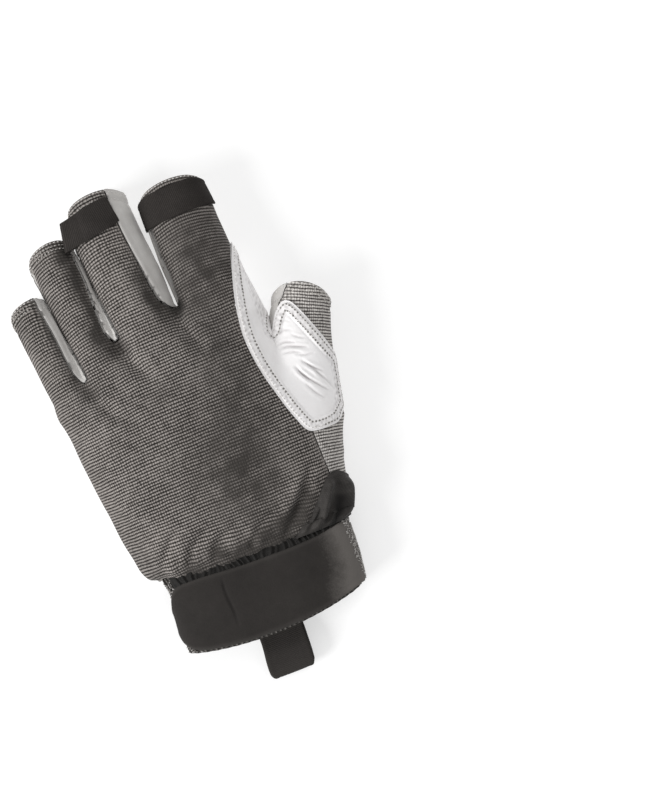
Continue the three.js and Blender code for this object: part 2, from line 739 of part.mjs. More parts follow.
const pieces = [
  ['back_panel', makeBackPanel, knit],
  ['palm_panel', makePalmPanel, leather],
  ['thumb_side_panel', makeThumbSidePanel, knit],
  ['thumb_patch', makeThumbPatch, paleLeather],
  ['index_pull_tab', makeIndexPullTab, webbing],
  ['middle_pull_tab', makeMiddlePullTab, webbing],
  ['wrist_fold', makeWristFold, stretchCloth],
  ['cuff', makeCuff, ribbing],
  ['wrist_strap', makeWristStrap, webbing],
  ['hang_loop', makeHangLoop, webbing],
];

const group = new THREE.Group();
pieces.forEach(([name, make, look]) => {
  const material = new THREE.MeshStandardMaterial({ ...look, metalness: 0 });
  const mesh = new THREE.Mesh(geometryOf(make()), material);
  mesh.name = name;
  group.add(mesh);
});

export default group;
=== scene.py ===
import math
from types import SimpleNamespace

import bpy
import numpy as np
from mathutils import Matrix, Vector


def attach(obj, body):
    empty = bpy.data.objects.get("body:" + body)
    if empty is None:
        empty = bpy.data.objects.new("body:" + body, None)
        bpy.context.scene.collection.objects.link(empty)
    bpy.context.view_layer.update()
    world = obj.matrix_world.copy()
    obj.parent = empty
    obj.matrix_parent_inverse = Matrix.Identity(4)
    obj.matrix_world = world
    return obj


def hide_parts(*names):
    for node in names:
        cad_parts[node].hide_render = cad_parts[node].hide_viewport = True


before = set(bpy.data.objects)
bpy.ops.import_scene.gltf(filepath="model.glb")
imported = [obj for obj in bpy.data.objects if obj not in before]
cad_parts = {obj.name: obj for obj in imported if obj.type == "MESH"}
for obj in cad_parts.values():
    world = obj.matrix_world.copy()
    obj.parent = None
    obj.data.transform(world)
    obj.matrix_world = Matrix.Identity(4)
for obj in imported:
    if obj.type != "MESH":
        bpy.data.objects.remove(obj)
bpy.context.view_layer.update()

# The glove is a left hand's, palm down. Lengths are in millimetres until a mesh is made.
# +X is the thumb's side, +Y the finger ends and +Z up through the back of the hand.

# Sizes, as in the model
PALM_WIDTH = 100.0
PALM_LENGTH = 107.0
PALM_HEIGHT = 34.0
PALM_POWER = 2.4  # how square a section is: 2 is an ellipse
FINGER_POWER = 2.2
CUFF_POWER = 2.6
WRIST = -51.5  # where the hand part ends and the cuff begins
SEAM = 12.0  # the height of the seam round the hand
WALL = 1.6
PATCH_THICKNESS = 1.1
PATCH_TUCK = 3.6  # how far the knit reaches under the patch
TAB_THICKNESS = 1.0
RIM_CROWN = 2.5
RIM_CORNER = 1.8
CUFF_LENGTH = 33.5
CUFF_SAG = 5.0
CUFF_HEIGHT = 20.0
CUFF_WALL = 2.2
CUFF_IN_HAND = (6.65, 41.9, 7.6, 10.0)  # middle, half width, height above and below
SEAM_MARGIN = 0.22
END_DRAWN = 2.2  # how far the middle finger's tab draws its end in
LOWEST = 0.02  # no sheet of the hand reaches below this
ROW_PITCH = 1.38  # the knit's rows and columns
COLUMN_PITCH = 1.12
RIB_SLANT = 0.42  # how much the cuff's ribs lean
BELOW = WRIST - 27  # outlines that run down past the hand part end here
PATCH_INSIDE = 51.7  # where the patch's outlines close, inside the hand

# Sections of the palm: along, left, right, up, down as shares of its sizes, and turn in degrees
PALM = np.array([
    (0.0, -0.372, 0.505, 0.3, 0.351, 0),
    (0.05, -0.415, 0.53, 0.36, 0.37, 0),
    (0.15, -0.443, 0.57, 0.44, 0.385, 0),
    (0.3, -0.46, 0.6, 0.53, 0.39, 0),
    (0.45, -0.478, 0.575, 0.59, 0.385, 0),
    (0.6, -0.49, 0.515, 0.61, 0.352, 1),
    (0.75, -0.5, 0.502, 0.56, 0.318, 4),
    (0.84, -0.505, 0.49, 0.49, 0.3, 8),
    (0.91, -0.49, 0.47, 0.38, 0.27, 12),
    (0.95, -0.44, 0.44, 0.24, 0.19, 14),
])


def finger(length, width, height, across, along, lean, bend, widths, ups, downs, slant, crown, knit):
    """widths, ups and downs are shares at the root and at the end. knit says where the back's knit ends."""
    return SimpleNamespace(
        length=length, width=width, height=height, x=across * PALM_WIDTH, y=WRIST + along * PALM_LENGTH,
        lean=math.radians(lean), bend=math.radians(bend), widths=widths, ups=ups, downs=downs,
        slant=math.radians(slant), crown=crown, knit=knit)


PINKY = finger(64, 27, 20, -0.388, 0.644, -6.6, 0, (0.74, 0.63), (0.62, 0.44), (0.5, 0.47), 8, 0.6,
               (-1.5, 0.62))
RING = finger(83, 27, 20, -0.209, 0.644, -5.1, 0, (0.83, 0.765), (0.74, 0.45), (0.5, 0.5), 5, 1,
              (-0.97, 0.88))
MIDDLE = finger(91.5, 27, 20, 0.006, 0.682, -1.7, 0, (1.11, 1.08), (0.86, 0.56), (0.5, 0.46), 0, 1,
                (-0.98, 0.5))
INDEX = finger(80.5, 27, 20, 0.328, 0.725, -1.2, 0, (1.2, 1.09), (0.8, 0.5), (0.45, 0.43), 0, 1,
               (-0.94, 1.5))
THUMB = finger(70.2, 28, 23, 0.468, 0.256, 17.8, 17, (1.22, 0.91), (0.56, 0.42), (0.42, 0.42), 0, 1.7,
               (0, 0))
FINGERS = [PINKY, RING, MIDDLE, INDEX, THUMB]

# Where the slots between the fingers end, as shares of the palm, and how wide each end is on both sides
FORKS = [(-0.337, 0.858), (-0.146, 0.968), (0.144, 1.008)]
FORK_SIDES = [(2.2, 1.5), (1.9, 1.8), (3.2, 3.0)]
# The patch's outline: on the back in millimetres, and on the palm in shares
PATCH_BACK_EDGE = [(49.6, 81.5), (43.6, 65.2), (39.6, 51.1), (37.2, 38.6), (36.7, 29.0), (38.2, 15.5),
                   (41.4, 2.1), (44.8, -8.6), (47.6, -14.6)]
PATCH_LOW_EDGE = [(51.5, -16.3), (56.5, -16.6), (61.5, -15.9)]
PATCH_THUMB_EDGE = [(65.2, -12.1), (68.2, -5.9), (70.6, 2.1), (71.2, 11.0), (69.8, 19.5), (67.4, 28.0),
                    (65.0, 35.0), (62.6, 40.0), (59.9, 41.6), (56.6, 40.3), (53.2, 36.6), (50.2, 31.5)]
PATCH_PALM_EDGE = [(0.31, 1.148), (0.257, 1.01), (0.238, 0.85), (0.222, 0.705), (0.413, 0.612), (0.49, 0.69)]
# The seam between the palm's leather and the thumb's knit: shares of the palm, then of the thumb
PALM_SEAM_START = [(0.252, -0.06), (0.345, 0.1), (0.47, 0.2)]
PALM_SEAM_ON_THUMB = [(0.64, 0.13), (0.84, 0.34), (0.85, 0.58), (0.74, 0.85), (0.63, 1.13)]
FOLD_OUTLINE = [(25.0, -56.2), (30.0, -52.4), (36.0, -47.8), (41.0, -43.0), (46.0, -37.6), (49.4, -35.0),
                (53.2, -35.4), (55.8, -38.6), (56.0, -43.4), (53.8, -49.6), (50.6, -55.6), (40.0, -56.4)]
# Sections of the cuff: along, left, right, up and down, as shares of its sizes
CUFF = np.array([
    (0.25, -0.345, 0.485, 0.46, 0.5),
    (0.6, -0.355, 0.475, 0.47, 0.5),
    (1.0, -0.362, 0.452, 0.45, 0.5),
])


# Small helpers

def smooth(low, high, value):
    t = np.clip((value - low) / (high - low), 0.0, 1.0)
    return t * t * (3 - 2 * t)


def between(start, full, fading, end, value):
    """Rises from 0 to 1 and falls back to 0."""
    return smooth(start, full, value) * (1 - smooth(fading, end, value))


def soft_min(a, b, k):
    h = np.maximum(k - np.abs(a - b), 0.0) / k
    return np.minimum(a, b) - h * h * k / 4


def soft_max(a, b, k):
    return -soft_min(-a, -b, k)


def bell(value, width):
    return np.exp(-(value / width) ** 2)


def unit(vectors):
    return vectors / np.maximum(np.linalg.norm(vectors, axis=-1, keepdims=True), 1e-9)


def blended(table, column, share):
    """A column of a table on a smooth curve through its rows, as the model has it."""
    keys = table[:, 0]
    values = table[:, column]
    inner = (values[2:] - values[:-2]) / (keys[2:] - keys[:-2])
    first = (values[1] - values[0]) / (keys[1] - keys[0])
    last = (values[-1] - values[-2]) / (keys[-1] - keys[-2])
    slopes = np.concatenate([[first], inner, [last]])
    share = np.clip(share, keys[0], keys[-1])
    row = np.clip(np.searchsorted(keys, share, side="right") - 1, 0, len(keys) - 2)
    span = keys[row + 1] - keys[row]
    t = (share - keys[row]) / span
    value = (2 * t**3 - 3 * t**2 + 1) * values[row] + (t**3 - 2 * t**2 + t) * span * slopes[row]
    return value + (3 * t**2 - 2 * t**3) * values[row + 1] + (t**3 - t**2) * span * slopes[row + 1]


def undulation(points, wavelength, seed):
    """A smooth random height between about -1 and 1, the same on every run."""
    rng = np.random.RandomState(seed)
    total = np.zeros(len(points))
    for _ in range(9):
        way = unit(rng.normal(size=3))
        pitch = wavelength * rng.uniform(0.7, 1.6)
        total += np.sin(points @ way * 2 * math.pi / pitch + rng.uniform(0, 2 * math.pi))
    return total / 4.5


# The hand as a field of distances

def tube_distance(u, w, half, up, down, power):
    """About how far a point is outside a section that is squarer than an ellipse."""
    height = np.where(w > 0, up, down)
    a = np.abs(u) / half
    b = np.abs(w) / height
    f = np.maximum((a**power + b**power) ** (1 / power), 1e-3)
    gu = (a / f) ** (power - 1) / half
    gw = (b / f) ** (power - 1) / height
    return (f - 1) / np.maximum(np.sqrt(gu * gu + gw * gw), 1e-4)


def palm_place(x, y):
    """The place across and along the palm, and its section there."""
    along = (y - WRIST) / PALM_LENGTH
    for _ in range(3):
        turn = np.radians(blended(PALM, 5, along))
        middle = (blended(PALM, 1, along) + blended(PALM, 2, along)) / 2 * PALM_WIDTH
        along = (y - WRIST - (x - middle) * np.tan(turn)) / PALM_LENGTH
    left, right, up, down = (blended(PALM, column, along) for column in range(1, 5))
    half = (right - left) / 2 * PALM_WIDTH
    return (x - middle) / np.cos(turn), along, half, up * PALM_HEIGHT, down * PALM_HEIGHT


def finger_place(f, x, y):
    """The place across and along a finger."""
    if f.bend == 0:
        dx, dy = x - f.x, y - f.y
        cos, sin = math.cos(f.lean), math.sin(f.lean)
        along = dx * sin + dy * cos
        return dx * cos - dy * sin - drawn_in(f, along) / 2, along
    radius = f.length / f.bend
    start = f.lean - f.bend / 2
    qx = x - (f.x + radius * math.cos(start))
    qy = y - (f.y - radius * math.sin(start))
    return radius - np.hypot(qx, qy), (np.arctan2(qy, -qx) - start) * radius


def drawn_in(f, along):
    """How far the left side of the middle finger's end is drawn in by its tab."""
    if f is not MIDDLE:
        return 0.0
    return END_DRAWN * smooth(0.8, 0.94, along / f.length)


def finger_size(f, along):
    """Half width, height above and height below the seam."""
    t = np.clip(along / f.length, 0.0, 1.0)
    start = 0.6 + 0.4 * np.clip(t / 0.2, 0.0, 1.0)
    width, up, down = (start * (root + (end - root) * t) for root, end in (f.widths, f.ups, f.downs))
    drawn = 1 - 0.035 * smooth(0.86, 1.0, t)
    half = width * drawn * f.width / 2 - drawn_in(f, along) / 2
    return half, up * f.height, down * f.height


def rim_place(f, u, half):
    """How far along a finger its open end lies. The end's corners are rounded."""
    side = np.minimum(np.abs(u) / half, 1.1)
    return f.length + RIM_CROWN * f.crown * (1 - side**2) - RIM_CORNER * side**6 + u * math.sin(f.slant)


def on_finger(f, side, share, steps=12):
    """A point of the plan, from shares of half a finger's width and of its length."""
    x, y = f.x, f.y
    for i in range(steps):
        way = f.lean + f.bend * (share * (i + 0.5) / steps - 0.5)
        x += math.sin(way) * f.length * share / steps
        y += math.cos(way) * f.length * share / steps
    turn = -f.lean - f.bend * (share - 0.5) + f.slant * min(share, 1) ** 4
    along = np.float64(share * f.length)
    reach = side * float(finger_size(f, along)[0]) + float(drawn_in(f, along)) / 2
    return (x + reach * math.cos(turn), y + reach * math.sin(turn))


def palm_tube(x, y, z):
    u, along, half, up, down = palm_place(x, y)
    tube = tube_distance(u, z - SEAM, half, up, down, PALM_POWER)
    return soft_max(tube, (along - 0.95) * PALM_LENGTH, 4.0)


def finger_tube(f, x, y, z):
    """The distance to a finger, the place across and along it, and half its width there."""
    u, s = finger_place(f, x, y)
    half, up, down = finger_size(f, s)
    tube = tube_distance(u, z - SEAM, half, up, down, FINGER_POWER)
    return soft_max(tube, -s, 3.0), u, s, half


def hand_distance(x, y, z):
    whole = np.maximum(palm_tube(x, y, z), WRIST - 6 - y)
    for f in FINGERS:
        tube, _, s, _ = finger_tube(f, x, y, z)
        tube = np.maximum(tube, s - f.length - 8)
        root = 1 - smooth(0.3, 0.75, s / f.length)
        whole = soft_min(whole, tube, 0.5 + (6.5 if f is THUMB else 3.5) * root)
    return soft_max(whole, -z, 2.0)


def distance_at(points):
    return hand_distance(points[:, 0], points[:, 1], points[:, 2])


def differences(value_at, points, step):
    """How much a value changes across each point, along each axis."""
    moves = np.eye(3) * step
    return np.stack([value_at(points + move) - value_at(points - move) for move in moves], axis=1)


def normals_at(points):
    return unit(differences(distance_at, points, 0.08))


def onto_surface(points, rounds=3):
    for _ in range(rounds):
        points = points - normals_at(points) * distance_at(points)[:, None]
    return points


def surface_net(field, origin, pitch):
    """The surface where a field on a grid is zero, as points and four-sided faces."""
    inside = field < 0
    shape = np.array(field.shape) - 1
    count = np.zeros(shape, int)
    corners = [(i, j, k) for i in (0, 1) for j in (0, 1) for k in (0, 1)]

    def at(grid, i, j, k):
        return grid[i:i + shape[0], j:j + shape[1], k:k + shape[2]]

    for corner in corners:
        count += at(inside, *corner)
    mixed = (count > 0) & (count < 8)
    index = np.full(shape, -1)
    index[mixed] = np.arange(mixed.sum())
    cells = np.argwhere(mixed)
    total = np.zeros((len(cells), 3))
    crossings = np.zeros(len(cells))
    for axis in range(3):
        for corner in corners:
            if corner[axis]:
                continue
            other = list(corner)
            other[axis] = 1
            a = at(field, *corner)[mixed]
            b = at(field, *other)[mixed]
            crossed = (a < 0) != (b < 0)
            place = np.tile(np.array(corner, float), (len(cells), 1))
            place[:, axis] = a / np.where(crossed, a - b, 1.0)
            total += np.where(crossed[:, None], place, 0.0)
            crossings += crossed
    points = (cells + total / crossings[:, None]) * pitch + origin
    faces = []
    for axis in range(3):
        b_axis = (axis + 1) % 3
        c_axis = (axis + 2) % 3
        low = [slice(None)] * 3
        high = [slice(None)] * 3
        low[axis] = slice(0, -1)
        high[axis] = slice(1, None)
        change = inside[tuple(low)] != inside[tuple(high)]
        edges = np.argwhere(change)
        good = (edges[:, b_axis] > 0) & (edges[:, c_axis] > 0)
        good &= (edges[:, b_axis] < shape[b_axis]) & (edges[:, c_axis] < shape[c_axis])
        edges = edges[good]
        started = inside[tuple(edges.T)]
        ring = []
        for db, dc in ((1, 1), (0, 1), (0, 0), (1, 0)):
            cell = edges.copy()
            cell[:, b_axis] -= db
            cell[:, c_axis] -= dc
            ring.append(index[tuple(cell.T)])
        quads = np.stack(ring, axis=1)
        quads[started] = quads[started][:, ::-1]
        faces.append(quads)
    return points, np.concatenate(faces)


# Outlines in plan

def curve_through(points, steps=6):
    """A smooth curve through points, open at its ends."""
    points = np.array(points, float)
    padded = np.vstack([2 * points[0] - points[1], points, 2 * points[-1] - points[-2]])
    out = []
    for i in range(len(points) - 1):
        p0, p1, p2, p3 = padded[i:i + 4]
        for t in np.arange(steps) / steps:
            a = 2 * p1 + (p2 - p0) * t + (2 * p0 - 5 * p1 + 4 * p2 - p3) * t * t
            out.append((a + (3 * p1 - p0 - 3 * p2 + p3) * t**3) / 2)
    out.append(points[-1])
    return [tuple(point) for point in out]


def plan_points(shares):
    return [(across * PALM_WIDTH, WRIST + along * PALM_LENGTH) for across, along in shares]


def moved(points, dx, dy):
    return [(x + dx, y + dy) for x, y in points]


def inside_by(outline, x, y):
    """How far points of the plan lie inside a closed outline, below 0 outside it."""
    outline = np.array(outline, float)
    after = np.roll(outline, -1, axis=0)
    best = np.full(x.shape, 1e18)
    within = np.zeros(x.shape, bool)
    for (ax, ay), (bx, by) in zip(outline, after):
        ex = bx - ax
        ey = by - ay
        long = ex * ex + ey * ey
        if long < 1e-12:
            continue
        px = x - ax
        py = y - ay
        t = np.clip((px * ex + py * ey) / long, 0, 1)
        best = np.minimum(best, (px - t * ex) ** 2 + (py - t * ey) ** 2)
        if ay != by:
            spans = (ay > y) != (by > y)
            within ^= spans & (x < ax + (y - ay) * ex / ey)
    gap = np.sqrt(best)
    return np.where(within, gap, -gap)


def path_distance(points, path):
    """The distance in plan to an open path, and how far along it the nearest point is, from 0 to 1."""
    path = np.array(path, float)
    spans = np.diff(path, axis=0)
    lengths = np.linalg.norm(spans, axis=1)
    before = np.concatenate([[0], np.cumsum(lengths)])
    best = np.full(len(points), 1e18)
    share = np.zeros(len(points))
    for i, span in enumerate(spans):
        way = points[:, :2] - path[i]
        t = np.clip(way @ span / max(lengths[i] ** 2, 1e-9), 0, 1)
        gap = np.sum((way - t[:, None] * span) ** 2, axis=1)
        nearer = gap < best
        best = np.where(nearer, gap, best)
        share = np.where(nearer, (before[i] + t * lengths[i]) / before[-1], share)
    return np.sqrt(best), share


def back_outline():
    outside = on_finger(PINKY, PINKY.knit[0], 1)
    points = [(outside[0] - 25, BELOW), (outside[0] - 25, outside[1]), on_finger(PINKY, PINKY.knit[0], 1.15)]
    forks = zip(FINGERS, FINGERS[1:], plan_points(FORKS), FORK_SIDES)
    for left, right, (x, y), (before, after) in forks:
        points += curve_through([
            *(on_finger(left, left.knit[1], share) for share in (1.15, 0.8)),
            (x - 1.6 * before, y + 8.0), (x - before, y + 3.0), (x - 0.5 * before, y + 0.8), (x, y),
            (x + 0.6 * after, y + 0.8), (x + after, y + 3.6),
            *(on_finger(right, right.knit[0], share) for share in (0.62, 0.8, 1.15)),
        ])
    x, y = PATCH_BACK_EDGE[0]
    return [*points, on_finger(INDEX, INDEX.knit[1], 1.15), (x + 2 * PATCH_TUCK, y),
            *moved(PATCH_BACK_EDGE[1:-2], PATCH_TUCK, 0), (50, PATCH_LOW_EDGE[0][1]), (50, BELOW)]


def thumb_back_outline():
    outer = moved(PATCH_THUMB_EDGE[:9], -PATCH_TUCK, -1.6)
    end = on_finger(THUMB, -0.45, 1.06)
    return [(100, BELOW), (50, BELOW), (50, PATCH_LOW_EDGE[0][1] + PATCH_TUCK), *outer, end, (100, end[1])]


def thumb_palm_outline():
    on_thumb = [on_finger(THUMB, *row) for row in PALM_SEAM_ON_THUMB]
    points = curve_through(plan_points(PALM_SEAM_START) + on_thumb, 4)
    x, y = points[0]
    return [(100, y - 27), (x, y - 27), *points, (100, points[-1][1])]


def patch_back_outline():
    edge = curve_through(PATCH_BACK_EDGE + PATCH_LOW_EDGE + PATCH_THUMB_EDGE, 5)
    return [*edge, (PATCH_INSIDE, edge[0][1])]


def patch_palm_outline():
    points = plan_points(PATCH_PALM_EDGE)
    low, high = points[0][1], points[5][1]
    return [*curve_through(points[:4], 5), points[4], points[5], (PATCH_INSIDE, high), (PATCH_INSIDE, low)]


BACK_OUTLINE = back_outline()
THUMB_BACK = thumb_back_outline()
THUMB_PALM = thumb_palm_outline()
PATCH_BACK = patch_back_outline()
PATCH_PALM = patch_palm_outline()
FOLD = curve_through(FOLD_OUTLINE + FOLD_OUTLINE[:1], 4)[:-1]


def owner_of(points):
    """Which finger each point lies on, or 5 for the palm, and its distance to the open end."""
    x, y, z = points.T
    best = palm_tube(x, y, z)
    owner = np.full(len(points), len(FINGERS))
    to_rim = np.full(len(points), 1e3)
    for i, f in enumerate(FINGERS):
        tube, u, s, half = finger_tube(f, x, y, z)
        nearer = tube < best
        best = np.where(nearer, tube, best)
        owner = np.where(nearer, i, owner)
        to_rim = np.where(nearer, rim_place(f, u, half) - s, to_rim)
    return owner, to_rim


def wrist_line(points):
    """The hand part's lower edge. It waves where it is gathered, and hangs lower on the back."""
    x, _, z = points.T
    hang = between(-36, -16, 34, 48, x) * smooth(SEAM, SEAM + 6, z)
    return WRIST + 0.5 * np.sin(x * 0.55 + 1) + 0.35 * np.sin(x * 0.23) - 4.1 * hang


def open_by(points):
    """How far inside the open ends and the wrist a point lies."""
    to_rim = owner_of(points)[1]
    return np.minimum(to_rim, points[:, 1] - wrist_line(points))


def inside_both(points, on_back, on_palm):
    """How far inside an outline points lie. It is another one above the seam than below it."""
    mix = smooth(SEAM - 2, SEAM + 2, points[:, 2])
    x, y = points[:, 0], points[:, 1]
    return mix * inside_by(on_back, x, y) + (1 - mix) * inside_by(on_palm, x, y)


def thumb_by(points):
    return inside_both(points, THUMB_BACK, THUMB_PALM)


def back_by(points):
    return np.minimum(inside_by(BACK_OUTLINE, points[:, 0], points[:, 1]), points[:, 2] - SEAM)


def back_region(points):
    return np.minimum.reduce([back_by(points), -thumb_by(points), open_by(points)]) - SEAM_MARGIN


def thumb_region(points):
    return np.minimum(thumb_by(points), open_by(points)) - SEAM_MARGIN


def palm_region(points):
    return np.minimum.reduce([-back_by(points), -thumb_by(points), open_by(points)]) - SEAM_MARGIN


def patch_region(points):
    by = inside_both(points, PATCH_BACK, PATCH_PALM)
    return np.minimum(by - 0.5, open_by(points) - 1.5)


def fold_region(points):
    return np.minimum(inside_by(FOLD, points[:, 0], points[:, 1]), points[:, 2] - (SEAM - 4))


# Cutting sheets out of the hand's surface

def edge_keys(a, b, count):
    return np.minimum(a, b).astype(np.int64) * count + np.maximum(a, b)


def compacted(points, faces):
    used = np.unique(faces)
    remap = np.full(len(points), -1)
    remap[used] = np.arange(len(used))
    return points[used], remap[faces]


def cut_out(points, triangles, region, pitch):
    """The part of a surface where region is above 0, with a clean edge."""
    value = region(points)
    near = np.abs(value) < 0.42 * pitch
    spots = points[near]
    slopes = differences(region, spots, 0.1) / 0.2
    normal = normals_at(spots)
    slopes -= normal * np.sum(slopes * normal, axis=1, keepdims=True)
    steep = np.sum(slopes**2, axis=1)
    shift = np.where(steep > 0.05, -value[near] / np.maximum(steep, 0.05), 0.0)
    points = points.copy()
    points[near] = spots + slopes * np.clip(shift, -pitch, pitch)[:, None]
    value[near] = np.where(steep > 0.05, 1e-6, value[near])
    keep = value > 0
    kept = keep[triangles].sum(axis=1)
    crossed = []
    for corners, odd_one in ((1, np.argmax), (2, np.argmin)):
        rows = triangles[kept == corners]
        first = odd_one(keep[rows], axis=1)
        crossed.append(np.stack([rows[np.arange(len(rows)), (first + i) % 3] for i in range(3)], axis=1))
    one, two = crossed
    ends = np.concatenate([rows[:, [0, i]] for rows in crossed for i in (1, 2)])
    keys = edge_keys(ends[:, 0], ends[:, 1], len(points))
    _, first, back = np.unique(keys, return_index=True, return_inverse=True)
    a, b = ends[first].T
    t = np.clip(value[a] / (value[a] - value[b]), 0.02, 0.98)[:, None]
    back = back.reshape(-1) + len(points)
    one_ab, one_ac, two_ab, two_ac = np.split(back, np.cumsum([len(one), len(one), len(two)]))
    corners = [(one[:, 0], one_ab, one_ac), (two_ab, two[:, 1], two[:, 2]), (two_ab, two[:, 2], two_ac)]
    faces = np.concatenate([triangles[kept == 3], *(np.stack(rows, axis=1) for rows in corners)])
    points = np.vstack([points, points[a] * (1 - t) + points[b] * t])
    points, faces = compacted(points, faces)
    return without_crumbs(onto_surface(points, 1), faces)


def without_crumbs(points, faces, fewest=60):
    """Drops the crumbs of few faces that a cut leaves beside the main sheet."""
    label = np.arange(len(points))
    while True:
        low = label[faces].min(axis=1)
        fresh = label.copy()
        for corner in range(3):
            np.minimum.at(fresh, faces[:, corner], low)
        fresh = fresh[fresh]
        if np.array_equal(fresh, label):
            break
        label = fresh
    sizes = np.bincount(label[faces[:, 0]], minlength=len(points))
    return compacted(points, faces[sizes[label[faces[:, 0]]] > fewest])


def border_of(faces):
    """The sheet's open edges, each in the direction of its face."""
    edges = np.concatenate([faces[:, [i, (i + 1) % faces.shape[1]]] for i in range(faces.shape[1])])
    keys = edge_keys(edges[:, 0], edges[:, 1], faces.max() + 1)
    _, back, counts = np.unique(keys, return_inverse=True, return_counts=True)
    return edges[counts[back.reshape(-1)] == 1]


def thickened(points, normals, faces, thickness, relief, steps=4):
    """A solid sheet with rounded edges. Its outer face is raised by relief, its inner one by half of it."""
    outer = points + normals * relief[:, None]
    inner = points + normals * (relief * 0.5 - thickness)[:, None]
    border = border_of(faces)
    around = np.unique(border)
    place = np.full(len(points), -1)
    place[around] = np.arange(len(around))
    way = unit(points[border[:, 1]] - points[border[:, 0]])
    outwards = np.zeros((len(around), 3))
    for end in border.T:
        np.add.at(outwards, place[end], np.cross(way, normals[end]))
    outwards = unit(outwards)
    middle = (outer[around] + inner[around]) / 2
    radius = (outer[around] - inner[around]) / 2
    reach = np.linalg.norm(radius, axis=1, keepdims=True)
    count = len(points)
    rows = [around]
    extra = []
    for step in range(1, steps):
        angle = math.pi * step / steps
        extra.append(middle + radius * math.cos(angle) + outwards * reach * math.sin(angle) * 0.9)
        rows.append(2 * count + (step - 1) * len(around) + np.arange(len(around)))
    rows.append(around + count)
    a, b = place[border].T
    strips = [np.stack([upper[b], upper[a], lower[a], lower[b]], axis=1)
              for upper, lower in zip(rows, rows[1:])]
    source = np.concatenate([np.arange(count)] * 2 + [around] * (steps - 1))
    return np.vstack([outer, inner, *extra]), [faces, faces[:, ::-1] + count, *strips], source


def edge_distance(points, spots, limit=14.0):
    """The distance from each point to the nearest of some spots."""
    best = np.full(len(points), limit)
    for start in range(0, len(spots), 200):
        chunk = spots[start:start + 200]
        low = chunk.min(axis=0) - limit
        high = chunk.max(axis=0) + limit
        near = np.flatnonzero(np.all((points > low) & (points < high), axis=1))
        if len(near) == 0:
            continue
        gaps = ((points[near][:, None, :] - chunk[None]) ** 2).sum(axis=2).min(axis=1)
        best[near] = np.minimum(best[near], np.sqrt(gaps))
    return best


def contour(points, faces, value, level):
    """The lines on a triangle mesh where a value has a level, as lists of points."""
    side = value[faces] > level
    mixed = (side.sum(axis=1) == 1) | (side.sum(axis=1) == 2)
    rows = faces[mixed]
    side = side[mixed]
    crossings = {}
    links = {}
    for row, sides in zip(rows.tolist(), side.tolist()):
        ends = []
        for i in range(3):
            j = (i + 1) % 3
            if sides[i] != sides[j]:
                a, b = sorted((row[i], row[j]))
                if (a, b) not in crossings:
                    t = (level - value[a]) / (value[b] - value[a])
                    crossings[(a, b)] = points[a] * (1 - t) + points[b] * t
                ends.append((a, b))
        links.setdefault(ends[0], []).append(ends[1])
        links.setdefault(ends[1], []).append(ends[0])
    lines = []
    seen = set()
    starts = [key for key, near in links.items() if len(near) == 1] + list(links)
    for start in starts:
        if start in seen:
            continue
        line = [start]
        seen.add(start)
        while True:
            onward = [key for key in links[line[-1]] if key not in seen]
            if not onward:
                break
            line.append(onward[0])
            seen.add(onward[0])
        closed = len(line) > 4 and line[0] in links[line[-1]]
        path = np.array([crossings[key] for key in line + ([line[0]] if closed else [])])
        if len(path) > 3:
            lines.append(path)
    return lines


def run_of(path):
    """How far along a path each of its points lies."""
    return np.concatenate([[0], np.cumsum(np.linalg.norm(np.diff(path, axis=0), axis=1))])


def evened(path, count):
    """count points at an even pitch along a path."""
    run = run_of(path)
    spots = np.linspace(0, run[-1], count)
    return np.stack([np.interp(spots, run, column) for column in path.T], axis=1)


# Meshes and materials

def placed(name, data):
    """A new object in the scene."""
    item = bpy.data.objects.new(name, data)
    bpy.context.scene.collection.objects.link(item)
    return item


def make_mesh(name, vertices, polygons, uv, material, stands_for=(), extra=None):
    """A piece in metres, smooth shaded, with its weave map in millimetres."""
    mesh = bpy.data.meshes.new(name)
    faces = [row for block in polygons for row in block.tolist()]
    mesh.from_pydata((vertices / 1000).tolist(), [], faces)
    mesh.polygons.foreach_set("use_smooth", np.ones(len(mesh.polygons), bool))
    if uv is not None:
        corners = np.zeros(len(mesh.loops), np.int32)
        mesh.loops.foreach_get("vertex_index", corners)
        layer = mesh.uv_layers.new(name="weave")
        layer.data.foreach_set("uv", uv[corners].astype(np.float32).ravel())
    for key, values in (extra or {}).items():
        attribute = mesh.attributes.new(key, "FLOAT", "POINT")
        attribute.data.foreach_set("value", values.astype(np.float32))
    mesh.materials.append(material)
    mesh.update()
    piece = placed(name, mesh)
    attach(piece, "root")
    if stands_for:
        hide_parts(*stands_for)


